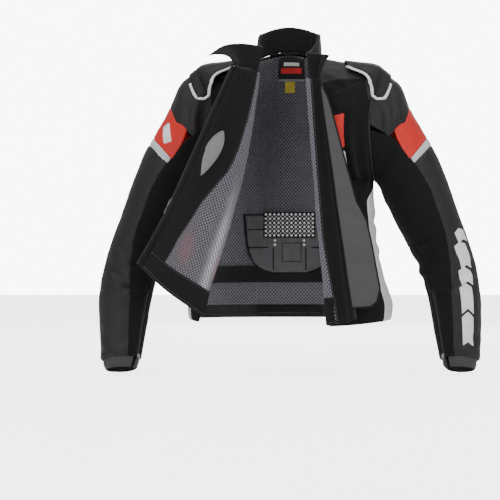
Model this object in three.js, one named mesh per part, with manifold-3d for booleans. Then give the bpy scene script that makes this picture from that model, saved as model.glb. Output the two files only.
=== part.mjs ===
// A leather riding jacket, hanging on a wearer's torso with its front folded open.
// Millimetres, +Z up. The origin is the collar seam at the centre of the back of the neck.
// The wearer faces -Y, so +X is the wearer's left. Each cloth piece is a thin closed solid
// between two offsets of a shared surface, so neighbouring pieces meet along one line.

import * as THREE from 'three';
import { mergeVertices } from 'three/addons/utils/BufferGeometryUtils.js';
import Module from 'manifold-3d';

const wasm = await Module();
wasm.setup();

// ---------------------------------------------------------------- driving dimensions

const chestHalfWidth = 196;        // half the width of the body under the arms
const backLength = 620;            // collar seam to hem at the side of the body
const sleeveDrop = 517;            // armhole centre to wrist, measured straight down
const sleeveReach = 184;           // armhole centre to wrist, measured outwards
const elbowRadius = 64;
const wristRadius = 48;
const collarHeight = 57;
const leather = 3;                 // leather and its backing
const liningDepth = 8;             // outer face to lining
const liningThickness = 2;
const padThickness = 8;            // lumbar pad and protectors
const padGap = 3;                  // lining to lumbar pad or waistband
const padDepth = liningDepth + liningThickness + padGap;
const elasticThickness = 3;
const zipTapeWidth = 12;
const zipTapeThickness = 3;
const zipLineX = 8;                // the closing line lies a little to the wearer's left
const zipGap = 1;                  // each zip edge to the closing line
const zipClearance = 1;            // zip tape to the edge of its panel
const rightOpenAngle = 118;        // how far each front is folded back
const leftOpenAngle = 136;
const flapOpenAngle = 80;          // storm flap out of its closed place behind the right front
const flapWidth = 74;
const flapDepth = 7.5;             // behind the front's outer face when closed
const flapThickness = 2.4;
const frontBulge = 12;             // crown of each closed front
const cupHeight = 9;               // shoulder cup above the sleeve
const cupClearance = 2;
const cuffLength = 23;             // knitted cuff below the sleeve end
const sleeveHeadDepth = 80;        // front to back, half, just below the armhole
const seam = 0.012;                // half seam allowance, as a share of a ring spacing
const seamTurn = 0.45;             // half seam allowance, in degrees round the body
const seamShare = 0.006;           // half seam allowance, as a share of a panel's width

// ---------------------------------------------------------------- small helpers

const radians = (degrees) => degrees * Math.PI / 180;
const lerp = (a, b, t) => a + (b - a) * t;
const vector = (x, y, z) => new THREE.Vector3(x, y, z);
const mixed = (a, b, t) => a.clone().lerp(b, t);

function smoothStep(t) {
  const x = Math.min(Math.max(t, 0), 1);
  return x * x * (3 - 2 * x);
}

function steps(from, to, count) {
  return Array.from({ length: count + 1 }, (_, i) => lerp(from, to, i / count));
}

// Catmull-Rom through rows of numbers, one row per whole value of t.
function spline(rows, t) {
  const last = rows.length - 1;
  const i = Math.min(Math.max(Math.floor(t), 0), last - 1);
  const f = t - i;
  const row = (j) => rows[Math.min(Math.max(j, 0), last)];
  return rows[i].map((p1, c) => {
    const p0 = row(i - 1)[c];
    const p2 = row(i + 1)[c];
    const p3 = row(i + 2)[c];
    const cubic = 3 * p1 - p0 - 3 * p2 + p3;
    const square = 2 * p0 - 5 * p1 + 4 * p2 - p3;
    return 0.5 * (2 * p1 + f * (p2 - p0 + f * (square + f * cubic)));
  });
}

// ---------------------------------------------------------------- body of the jacket

// The pattern is drafted at these sizes and graded to the ones above.
const draftHalfWidth = 196;
const draftLength = 620;
const girthGrade = chestHalfWidth / draftHalfWidth;
const lengthGrade = backLength / draftLength;

// Rings from neck to hem: half width, front and back depth, height at front, side and back,
// and how square the ring is (1 is an ellipse).
const bodyRings = [
  [74, 62, 62, -72, -22, 0, 1],
  [105, 84, 80, -88, -27, -16, 1],
  [150, 96, 98, -105, -35, -42, 0.95],
  [208, 98, 112, -130, -50, -80, 0.8],
  [210, 98, 122, -170, -105, -130, 0.75],
  [204, 100, 126, -230, -190, -200, 0.75],
  [192, 108, 122, -310, -300, -300, 0.8],
  [196, 116, 112, -400, -400, -400, 0.8],
  [202, 124, 104, -460, -460, -460, 0.8],
  [215, 128, 108, -520, -520, -520, 0.8],
  [234, 140, 118, -580, -580, -580, 0.8],
  [232, 142, 118, -632, -620, -620, 0.8],
];
const shoulderRing = 3;
const armpitRing = 6;
const hemRing = bodyRings.length - 1;
const armholeFront = 36;           // degrees from the side line to the armhole's front edge
const armholeBack = 42;

// A point on the body, angle 0 at the front, 90 at the wearer's left side, 180 at the back.
function body(angle, ring) {
  const [half, front, back, zFront, zSide, zBack, square] = spline(bodyRings, ring);
  const s = Math.sin(radians(angle));
  const c = Math.cos(radians(angle));
  const depth = c > 0 ? -front : back;
  const zEnd = c > 0 ? zFront : zBack;
  return vector(
    girthGrade * half * Math.sign(s) * Math.abs(s) ** square,
    girthGrade * depth * Math.abs(c) ** square,
    lengthGrade * (zSide + (zEnd - zSide) * c * c),
  );
}

// Rows run as rings do, except beside the armhole, where they are spaced round its oval.
function ringOfRow(row) {
  if (row <= shoulderRing || row >= armpitRing) return row;
  const span = armpitRing - shoulderRing;
  const turn = Math.PI * (row - shoulderRing) / span;
  return (shoulderRing + armpitRing) / 2 - span / 2 * Math.cos(turn);
}

function armholeReach(row) {
  if (row <= shoulderRing || row >= armpitRing) return 0;
  return Math.sin(Math.PI * (row - shoulderRing) / (armpitRing - shoulderRing));
}

// Every piece on the body has its grid lines here, so that its layers and seams lie true.
const sidePanelTop = 6.3;
const rowLines = [...steps(0, shoulderRing, 4), 3.25, ...steps(3.5, armpitRing, 5), sidePanelTop,
  6.8, 7.5, 8, 9, 10, hemRing];

function rowsBetween(from, to) {
  return [from, ...rowLines.filter((row) => row > from + 0.1 && row < to - 0.1), to];
}

// Half the side panel's width in degrees, to the front on each side and to the back.
const sidePanelFront = { left: 28, right: 15 };
const sidePanelBack = 28;
const sidePanelRise = 1.5;         // rings over which the side panel widens
const sidePanelSpread = (row) => smoothStep((row - armpitRing) / sidePanelRise);

const frontEdge = (side, row) =>
  90 - armholeFront * armholeReach(row) - sidePanelFront[side.name] * sidePanelSpread(row);
const backEdge = (row) =>
  90 + armholeBack * armholeReach(row) + sidePanelBack * sidePanelSpread(row);

const backOfBody = (u, row) => {
  const edge = backEdge(row);
  return body(lerp(edge, 360 - edge, u), ringOfRow(row));
};

// ---------------------------------------------------------------- the two sides

// Each front folds back along a straight line from the neck to the hem.
const left = { name: 'left', sign: 1, foldTop: [26, 0.65], foldHem: 16.5 };
const right = { name: 'right', sign: -1, foldTop: [46, 1.0], foldHem: 60.5 };

function mirrored(side, point) {
  point.x *= side.sign;
  return point;
}

for (const side of [left, right]) {
  side.fold0 = mirrored(side, body(...side.foldTop));
  side.fold1 = mirrored(side, body(side.foldHem, hemRing));
  const edge = zipLineX + side.sign * zipGap;
  side.zip0 = body(0, 0.7).setX(edge);
  side.zip1 = body(0, hemRing).setX(edge);
}

const foldPoint = (side, s) => mixed(side.fold0, side.fold1, s);
const zipPoint = (side, s) => mixed(side.zip0, side.zip1, s);

// How far down the fold a row meets it.
function foldShare(row) {
  const height = (ring) => body(0, ring).z;
  return (height(ringOfRow(row)) - height(0)) / (height(hemRing) - height(0));
}

// The fixed part of each front, from the side seam or armhole (u 0) to the fold (u 1).
function chest(side, u, row) {
  const ring = ringOfRow(row);
  const edge = frontEdge(side, row);
  const start = mirrored(side, body(edge, ring));
  const leave = mirrored(side, body(edge - 2, ring).sub(body(edge + 2, ring))).normalize();
  const s = foldShare(row);
  const end = foldPoint(side, s);
  const arrive = zipPoint(side, s).sub(end).normalize();
  const pull = start.distanceTo(end) * 0.9;
  const h1 = u * u * (3 - 2 * u);
  return start.multiplyScalar(1 - h1)
    .addScaledVector(leave, pull * u * (1 - u) ** 2)
    .addScaledVector(end, h1)
    .addScaledVector(arrive, -pull * u * u * (1 - u));
}

// The folding part of each front while it is closed, from the fold (u 0) to the zip (u 1).
function front(side, u, s) {
  const crown = frontBulge * Math.sin(Math.PI * Math.min(u, 1)) ** 2;
  const base = foldPoint(side, s).lerp(zipPoint(side, s), u);
  base.y -= crown;
  return base;
}

// ---------------------------------------------------------------- sleeves

const armholeTop = body(90, shoulderRing);
const armholeBottom = body(90, armpitRing);
const armholeHalf = (armholeTop.z - armholeBottom.z) / 2;
const armholeCentre = mixed(armholeTop, armholeBottom, 0.5);

const offsetFromArmhole = (x, y, z) => armholeCentre.clone().add(vector(x, y, z));
const elbow = offsetFromArmhole(sleeveReach * 0.86, 2, -sleeveDrop * 0.603);
const wrist = offsetFromArmhole(sleeveReach, -42, -sleeveDrop);
const shoulderTurn = offsetFromArmhole(armholeHalf * 0.632, 1, -armholeHalf);
const sleeveEnd = wrist.clone().add(vector(1, -5, -19));
const cuffEnd = sleeveEnd.clone().add(vector(1, -5, -cuffLength));

// Sleeve rings: centre, tilt of the outward axis above level, lean of the forward axis,
// outward radius and front-to-back radius. The armhole itself comes before the first one.
function sleeveRing(centre, tilt, lean, outward, forward) {
  return [centre.x, centre.y, centre.z, tilt, lean, outward, forward];
}
const upperShare = 0.6;
const forearmShare = 0.43;
const sleeveRings = [
  sleeveRing(offsetFromArmhole(armholeHalf * 0.208, 2, -armholeHalf * 0.152), 77, 0,
    armholeHalf * 0.92, sleeveHeadDepth * girthGrade),
  sleeveRing(offsetFromArmhole(armholeHalf * 0.332, 3, -armholeHalf * 0.424), 65.5, 0,
    armholeHalf * 0.745, sleeveHeadDepth * girthGrade * 0.975),
  sleeveRing(shoulderTurn, 37, 0, armholeHalf * 0.624, 74),
  sleeveRing(mixed(shoulderTurn, elbow, upperShare), 23, 2, elbowRadius * 1.07, elbowRadius * 1.08),
  sleeveRing(elbow, 14, 6, elbowRadius, elbowRadius * 0.95),
  sleeveRing(mixed(elbow, wrist, forearmShare).add(vector(8, 0, 0)), 6, 14,
    elbowRadius * 0.94, elbowRadius * 0.88),
  sleeveRing(wrist, -2, 16, wristRadius, wristRadius * 0.9),
  sleeveRing(sleeveEnd, -2, 16, wristRadius * 0.94, wristRadius * 0.84),
  sleeveRing(cuffEnd, -2, 16, wristRadius * 0.82, wristRadius * 0.74),
];
const elbowRing = 5;
const sleeveEndRing = 8;

// A point on a sleeve: turn 0 is the outer side, 90 the front, 180 the inside of the arm.
function sleeve(side, turn, t) {
  const c = Math.cos(radians(turn));
  const s = Math.sin(radians(turn));
  const middle = (shoulderRing + armpitRing) / 2;
  const reach = s > 0 ? armholeFront : armholeBack;
  const onArmhole = body(90 - s * reach, middle - (armpitRing - shoulderRing) / 2 * c);
  const onRing = ([x, y, z, tilt, lean, outward, forward]) => [
    x + outward * c * Math.cos(radians(tilt)),
    y - forward * s * Math.cos(radians(lean)),
    z + outward * c * Math.sin(radians(tilt)) + forward * s * Math.sin(radians(lean)),
  ];
  const [x, y, z] = spline([onArmhole.toArray(), ...sleeveRings.map(onRing)], t);
  return vector(side.sign * x, y, z);
}

// ---------------------------------------------------------------- solids

function closedGeometry(points, triangles) {
  const geometry = new THREE.BufferGeometry();
  geometry.setAttribute('position', new THREE.Float32BufferAttribute(points.flatMap((p) => p.toArray()), 3));
  geometry.setIndex(triangles.flat());
  return geometry;
}

function signedVolume(points, triangles) {
  const cross = new THREE.Vector3();
  return triangles.reduce((sum, [a, b, c]) =>
    sum + points[a].dot(cross.crossVectors(points[b], points[c])), 0);
}

// The outward unit normal of a surface, from points a little to each side.
function surfaceNormal(surface, u, v, du, dv, outward) {
  const along = surface(u + du, v).sub(surface(u - du, v));
  const down = surface(u, v + dv).sub(surface(u, v - dv));
  return along.cross(down).normalize().multiplyScalar(outward);
}

// A thin closed solid between two depths below a surface. us and vs are its grid lines, and
// each may depend on the other's value: us is a function of v where the edges aren't straight.
function cloth(surface, us, vs, { outer = 0, thickness = leather, outward = 1 }) {
  const rows = vs.map((v) => (typeof us === 'function' ? us(v) : us));
  const du = Math.abs(rows[0].at(-1) - rows[0][0]) * 1e-3;
  const dv = Math.abs(vs.at(-1) - vs[0]) * 1e-3;
  const width = rows[0].length;
  const points = [];
  for (const depth of [outer, outer + thickness]) {
    vs.forEach((v, j) => rows[j].forEach((u) => {
      const normal = surfaceNormal(surface, u, v, du, dv, outward);
      points.push(surface(u, v).addScaledVector(normal, -depth));
    }));
  }
  const layer = width * vs.length;
  const triangles = [];
  const quad = (a, b, c, d) => triangles.push([a, b, c], [a, c, d]);
  for (let j = 0; j + 1 < vs.length; j += 1) {
    for (let i = 0; i + 1 < width; i += 1) {
      const a = j * width + i;
      quad(a, a + 1, a + width + 1, a + width);
      quad(layer + a, layer + a + width, layer + a + width + 1, layer + a + 1);
    }
    const first = j * width;
    const end = first + width - 1;
    quad(first, first + width, layer + first + width, layer + first);
    quad(end + width, end, layer + end, layer + end + width);
  }
  for (let i = 0; i + 1 < width; i += 1) {
    const bottom = layer - width + i;
    quad(i + 1, i, layer + i, layer + i + 1);
    quad(bottom, bottom + 1, layer + bottom + 1, layer + bottom);
  }
  if (signedVolume(points, triangles) < 0) triangles.forEach((t) => t.reverse());
  return closedGeometry(points, triangles);
}

function manifoldOf(geometry) {
  const bare = geometry.clone();
  bare.deleteAttribute('normal');
  bare.deleteAttribute('uv');
  const merged = mergeVertices(bare, 1e-4);
  return new wasm.Manifold(new wasm.Mesh({
    numProp: 3,
    vertProperties: Float32Array.from(merged.attributes.position.array),
    triVerts: Uint32Array.from(merged.index.array),
  }));
}

function cut(geometry, tool) {
  const mesh = manifoldOf(geometry).subtract(manifoldOf(tool)).getMesh();
  const result = new THREE.BufferGeometry();
  result.setAttribute('position', new THREE.BufferAttribute(mesh.vertProperties, 3));
  result.setIndex(new THREE.BufferAttribute(mesh.triVerts, 1));
  return result;
}

// ---------------------------------------------------------------- materials

function finish(color, roughness, metalness = 0) {
  return new THREE.MeshStandardMaterial({ color, roughness, metalness });
}
const charcoalLeather = finish('#34353a', 0.5);
const redLeather = finish('#e23a2e', 0.5);
const whiteLeather = finish('#e8e8ea', 0.5);
const blackStretch = finish('#202124', 0.9);
const meshLining = finish('#6a6b78', 0.9);
const blackFacing = finish('#26272a', 0.85);
const greyNeoprene = finish('#6e7076', 0.85);
const zipTape = finish('#1c1c1e', 0.8);
const zipMetal = finish('#b9bcc2', 0.3, 1);
const protectorFoam = finish('#3c4450', 0.7);
const silverCloth = finish('#a9aaab', 0.6);
const cupPlastic = finish('#2b2c30', 0.4);

const jacket = new THREE.Group();

function add(parent, name, geometry, material) {
  const mesh = new THREE.Mesh(geometry, material);
  mesh.name = name;
  parent.add(mesh);
  return mesh;
}

// ---------------------------------------------------------------- back of the body

const backRows = {
  yoke: [0, 2.5],
  upper: [2.5, 4.5],
  band: [4.5, 5.5],
  lower: [5.5, hemRing],
};
const liningRows = [0.5, 10.2];

function backPiece(name, [from, to], columns, material, depth, thickness) {
  const us = (row) => {
    const turn = 360 - 2 * backEdge(row);
    const gap = seamTurn / turn;
    return steps(gap, 1 - gap, columns);
  };
  const vs = rowsBetween(from + seam, to - seam);
  const geometry = cloth(backOfBody, us, vs, { outer: depth, thickness, outward: -1 });
  return add(jacket, name, geometry, material);
}

backPiece('back_yoke', backRows.yoke, 12, charcoalLeather, 0, leather);
backPiece('back_upper', backRows.upper, 12, charcoalLeather, 0, leather);
backPiece('back_band', backRows.band, 12, redLeather, 0, leather);
backPiece('back_lower', backRows.lower, 12, charcoalLeather, 0, leather);
backPiece('back_lining', liningRows, 12, meshLining, liningDepth, liningThickness);

// A pad or band on the inside of the back, centred on the spine.
function innerBack(name, halfTurn, [from, to], columns, rows, material, depth, thickness) {
  const geometry = cloth(body, steps(180 - halfTurn, 180 + halfTurn, columns),
    steps(from, to, rows), { outer: depth, thickness, outward: -1 });
  return add(jacket, name, geometry, material);
}
innerBack('lumbar_pad', 34, [6.95, 8.62], 10, 5, protectorFoam, padDepth, padThickness);
innerBack('waist_elastic', 78, [8.72, 9.3], 16, 2, blackStretch, padDepth, elasticThickness);

// The half zip that joins the jacket to trousers: a flat strip inside the back of the hem.
const connectionZip = { width: 150, height: 14, thickness: 3, ring: 10.45, depth: 16 };
const connectionPlace = body(180, connectionZip.ring);
connectionPlace.y -= connectionZip.depth;
add(jacket, 'connection_zip',
  new THREE.BoxGeometry(connectionZip.width, connectionZip.thickness, connectionZip.height),
  zipTape).position.copy(connectionPlace);

// ---------------------------------------------------------------- fixed fronts and side panels

const chestRows = { top: [0, 3.75], band: [3.75, 5.25], lower: [5.25, hemRing] };

function chestPiece(side, name, [from, to], material, depth, thickness) {
  const surface = (u, row) => chest(side, u, row);
  const us = steps(seamShare, 1 - seamShare, 6);
  const vs = rowsBetween(from + seam, to - seam);
  const geometry = cloth(surface, us, vs, { outer: depth, thickness, outward: side.sign });
  add(jacket, `${side.name}_${name}`, geometry, material);
}

for (const side of [left, right]) {
  chestPiece(side, 'chest', chestRows.top, charcoalLeather, 0, leather);
  chestPiece(side, 'chest_band', chestRows.band, redLeather, 0, leather);
  chestPiece(side, 'chest_lower', chestRows.lower, blackStretch, 0, leather);
  chestPiece(side, 'chest_lining', liningRows, meshLining, liningDepth, liningThickness);

  const sideSurface = (u, row) =>
    mirrored(side, body(lerp(frontEdge(side, row), backEdge(row), u), row));
  const us = (row) => {
    const gap = seamTurn / (backEdge(row) - frontEdge(side, row));
    return steps(gap, 1 - gap, 4);
  };
  const geometry = cloth(sideSurface, us, rowsBetween(sidePanelTop, hemRing - seam),
    { outward: -side.sign });
  add(jacket, `${side.name}_side_panel`, geometry, whiteLeather);
}

// ---------------------------------------------------------------- collar

// The neck seam runs from the left fold round the back to the right fold.
const neckFront = 0.28;            // share of the neck seam in front of each shoulder
function neckSeam(q) {
  if (q < neckFront) return chest(left, 1 - q / neckFront, 0);
  if (q > 1 - neckFront) return chest(right, (q - 1 + neckFront) / neckFront, 0);
  return body(lerp(90, 270, (q - neckFront) / (1 - 2 * neckFront)), 0);
}
const collarLean = 0.12;
const foldUp = (side) => side.fold0.clone().sub(side.fold1).normalize();

// Each end of the collar stands in line with the fold, so that the front can turn there.
function collar(q, h) {
  const base = neckSeam(q);
  const upright = vector(base.x, base.y * 1.2, 0).setLength(collarLean).setZ(1);
  const end = foldUp(q < 0.5 ? left : right);
  const rise = end.lerp(upright, smoothStep(Math.min(q, 1 - q) / neckFront));
  return base.addScaledVector(rise, collarHeight * h);
}
const collarGap = 2.2;             // collar's lower edge above the neck seam
const collarColumns = steps(0.008, 0.992, 24);
const collarHeights = steps(collarGap / collarHeight, 1, 2);
add(jacket, 'collar_outer', cloth(collar, collarColumns, collarHeights,
  { outer: 0, thickness: leather - 0.5, outward: 1 }), charcoalLeather);
add(jacket, 'collar_lining', cloth(collar, collarColumns, collarHeights,
  { outer: leather + 0.3, thickness: liningThickness, outward: 1 }), blackStretch);

// ---------------------------------------------------------------- folding fronts

// A group that turns its pieces about the line through two points.
function hinged(parent, from, to, angle) {
  const axis = to.clone().sub(from).normalize();
  const group = new THREE.Group();
  group.quaternion.setFromAxisAngle(axis, radians(angle));
  group.position.copy(from).sub(from.clone().applyQuaternion(group.quaternion));
  parent.add(group);
  return group;
}

const facingWidth = { left: 42, right: 95 };
const liningLeast = 6;             // narrowest lining between a facing and the fold
const shellThickness = 2.4;
const innerDepth = shellThickness + 0.4;

function frontPieces(side, swing) {
  const surface = (u, s) => front(side, u, s);
  const widthAt = (s) => foldPoint(side, s).distanceTo(zipPoint(side, s));
  const tapeShare = (s) => (zipTapeWidth + zipClearance) / widthAt(s);
  const outward = side.sign;
  const rows = steps(0.004, 0.996, 8);
  const foldGap = (s) => 0.8 / widthAt(s);

  const shellColumns = (s) => steps(foldGap(s), 1 - tapeShare(s), 8);
  add(swing, `${side.name}_front_panel`, cloth(surface, shellColumns, rows,
    { outer: 0, thickness: shellThickness, outward }), charcoalLeather);

  const facingEdge = (s) => {
    const free = widthAt(s) * (1 - tapeShare(s)) - liningLeast;
    return 1 - tapeShare(s) - Math.min(facingWidth[side.name], free) / widthAt(s);
  };
  const seamWidth = (s) => 0.5 / widthAt(s);
  const liningColumns = (s) => steps(foldGap(s), facingEdge(s) - seamWidth(s), 5);
  add(swing, `${side.name}_front_lining`, cloth(surface, liningColumns, rows,
    { outer: innerDepth + 0.4, thickness: liningThickness, outward }), meshLining);
  const facingColumns = (s) => steps(facingEdge(s) + seamWidth(s), 1 - tapeShare(s), 4);
  add(swing, `${side.name}_facing`, cloth(surface, facingColumns, rows,
    { outer: innerDepth + 0.4, thickness: liningThickness, outward }), blackFacing);

  // The collar's end stands on the front's top edge.
  const collarEnd = (u, h) => {
    const rise = foldUp(side).lerp(vector(0, collarLean, 1), u);
    return front(side, u, 0).addScaledVector(rise, collarHeight * h);
  };
  const endColumns = steps(1.5 / widthAt(0), 1 - 1.5 / widthAt(0), 3);
  add(swing, `${side.name}_collar_end`, cloth(collarEnd, endColumns,
    steps(collarGap / collarHeight, 1, 2), { thickness: 4.5, outward: -outward }), charcoalLeather);
}

// The zip's own axes while closed: up the zip, towards the fold, and out of the front.
function zipAxes(side) {
  const up = side.zip0.clone().sub(side.zip1).normalize();
  const inward = foldPoint(side, 0.6).sub(zipPoint(side, 0.6));
  inward.addScaledVector(up, -inward.dot(up)).normalize();
  const out = inward.clone().cross(up).multiplyScalar(side.sign).normalize();
  return { up, inward, out };
}

// Turns a piece so that its own -Y points out and its own Z points up.
function face(mesh, out, up) {
  const back = out.clone().negate();
  const across = back.clone().cross(up);
  mesh.quaternion.setFromRotationMatrix(new THREE.Matrix4().makeBasis(across, back, up));
}

// Puts a piece at a height above the zip's lower end, flat against the front.
function placeOnZip(mesh, side, height, inward, out) {
  const axes = zipAxes(side);
  face(mesh, axes.out, axes.up);
  mesh.position.copy(side.zip1).addScaledVector(axes.up, height)
    .addScaledVector(axes.inward, inward).addScaledVector(axes.out, out);
}

function zipTapeOn(side, swing) {
  const length = side.zip0.distanceTo(side.zip1);
  const tape = add(swing, `${side.name}_zip_tape`,
    new THREE.BoxGeometry(zipTapeWidth - zipClearance, zipTapeThickness, length - 6), zipTape);
  placeOnZip(tape, side, length / 2, zipTapeWidth / 2, -zipTapeThickness / 2);
}

const rightSwing = hinged(jacket, right.fold0, right.fold1, rightOpenAngle);
const leftSwing = hinged(jacket, left.fold0, left.fold1, -leftOpenAngle);
frontPieces(right, rightSwing);
frontPieces(left, leftSwing);
zipTapeOn(right, rightSwing);
zipTapeOn(left, leftSwing);

// The storm flap hangs on the left zip edge and lies behind the right front when closed.
const flapTop = 0.05;
const flapBottom = 0.955;
// Its width down the zip: share of the zip's length, share of the full width.
const flapProfile = [
  [0.05, 0.11], [0.12, 0.25], [0.3, 0.42], [0.43, 0.55], [0.52, 0.65], [0.6, 0.88],
  [0.7, 0.95], [0.88, 1], [0.935, 0.84], [0.955, 0.57],
];

const flapLine = (s) => {
  const { out } = zipAxes(right);
  return zipPoint(right, s).setX(zipLineX).addScaledVector(out, -flapDepth);
};
function flapWidthAt(s) {
  const i = Math.max(1, flapProfile.findIndex(([share]) => share >= s));
  const [before, after] = [flapProfile[i - 1], flapProfile[i]];
  return flapWidth * lerp(before[1], after[1], (s - before[0]) / (after[0] - before[0]));
}
const flap = (u, s) => {
  const { inward } = zipAxes(right);
  return flapLine(s).addScaledVector(inward, u * flapWidthAt(s));
};
const flapSwing = hinged(leftSwing, flapLine(0), flapLine(1), -flapOpenAngle);
add(flapSwing, 'storm_flap', cloth(flap, steps(0.02, 1, 4), steps(flapTop, flapBottom, 12),
  { outer: 0, thickness: flapThickness, outward: 1 }), greyNeoprene);

// Inner pocket: a leaf-shaped pouch, open towards the wearer, on the right front's facing.
const pocket = { length: 122, width: 52, depth: 9, wall: 1.6, share: 0.36, inset: 68 };

function leafShape(length, width) {
  const shape = new THREE.Shape();
  shape.moveTo(0, -length / 2);
  shape.quadraticCurveTo(width, 0, 0, length / 2);
  shape.quadraticCurveTo(-width, 0, 0, -length / 2);
  return shape;
}
function leaf(length, width, depth) {
  const geometry = new THREE.ExtrudeGeometry(leafShape(length, width),
    { depth, bevelEnabled: false, curveSegments: 8 });
  return geometry.rotateX(Math.PI / 2);
}
const pocketShell = leaf(pocket.length, pocket.width, pocket.depth);
const pocketHollow = leaf(pocket.length - 6 * pocket.wall, pocket.width - 2 * pocket.wall,
  pocket.depth).translate(0, pocket.wall, 0);
const pocketMesh = add(rightSwing, 'inner_pocket', cut(pocketShell, pocketHollow), silverCloth);
const zipLength = right.zip0.distanceTo(right.zip1);
placeOnZip(pocketMesh, right, zipLength * (1 - pocket.share), pocket.inset, -pocket.depth - 1);

// Main slider and puller on the outer face of the right front.
const slider = { width: 11, depth: 5.5, length: 13, lift: 0.8 };
const puller = { width: 7, thickness: 1.8, length: 34, head: 2.3, hole: 2 };

function bevelledBlock(width, depth, length) {
  const edge = 1;
  const shape = new THREE.Shape();
  shape.moveTo(-width / 2 + edge, -length / 2 + edge);
  shape.lineTo(width / 2 - edge, -length / 2 + edge);
  shape.lineTo(width / 2 - edge, length / 2 - edge);
  shape.lineTo(-width / 2 + edge, length / 2 - edge);
  const geometry = new THREE.ExtrudeGeometry(shape, {
    depth: depth - 2 * edge, bevelThickness: edge, bevelSize: edge, bevelSegments: 1,
  });
  return geometry.translate(0, 0, edge - depth / 2).rotateX(Math.PI / 2);
}
// A puller: a flat tongue, narrow at its head, with a hole there that it turns about.
function pullerPlate({ width, thickness, length, head, hole }) {
  const shape = new THREE.Shape();
  const r = width / 2;
  shape.absarc(0, 0, head, 0, Math.PI, false);
  shape.absarc(0, r + head - length, r, Math.PI, 2 * Math.PI, false);
  shape.closePath();
  const opening = new THREE.Path();
  opening.absarc(0, 0, hole / 2, 0, 2 * Math.PI, true);
  shape.holes.push(opening);
  const geometry = new THREE.ExtrudeGeometry(shape,
    { depth: thickness, bevelEnabled: false, curveSegments: 8 });
  return geometry.translate(0, 0, -thickness / 2).rotateX(Math.PI / 2);
}

const sliderStart = 215;           // slider above the zip's lower end
const pullerClearance = 0.4;       // puller's head to the slider as it turns
const sliderMesh = add(rightSwing, 'main_slider',
  bevelledBlock(slider.width, slider.depth, slider.length), zipMetal);
placeOnZip(sliderMesh, right, sliderStart, zipTapeWidth / 2, slider.lift + slider.depth / 2);
const pullerMesh = add(rightSwing, 'main_puller',
  pullerPlate(puller), zipMetal);
placeOnZip(pullerMesh, right, sliderStart, zipTapeWidth / 2,
  slider.lift + slider.depth + puller.head + pullerClearance);

// ---------------------------------------------------------------- sleeve pieces

const bandRings = [2.0, 2.73];    // the coloured band round the upper arm
const armholeGap = 0.09;           // sleeve head below the armhole, in rings
const elbowGap = 0.23;             // half the notch at the front of the elbow, in rings
const cuffSlot = 146;              // turn of the cuff zip, at the front of the inner side
const cuffSlotHalf = 6.2;
const cuffTapeHalf = 5.2;
const cuffTapeTop = 6.15;
const cuffSlider = { width: 7, depth: 4, length: 9, start: 14 };
const cuffPuller = { width: 5, thickness: 1.4, length: 22, head: 1.7, hole: 1.4 };
const cuffSlotTop = 5.8;

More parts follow.
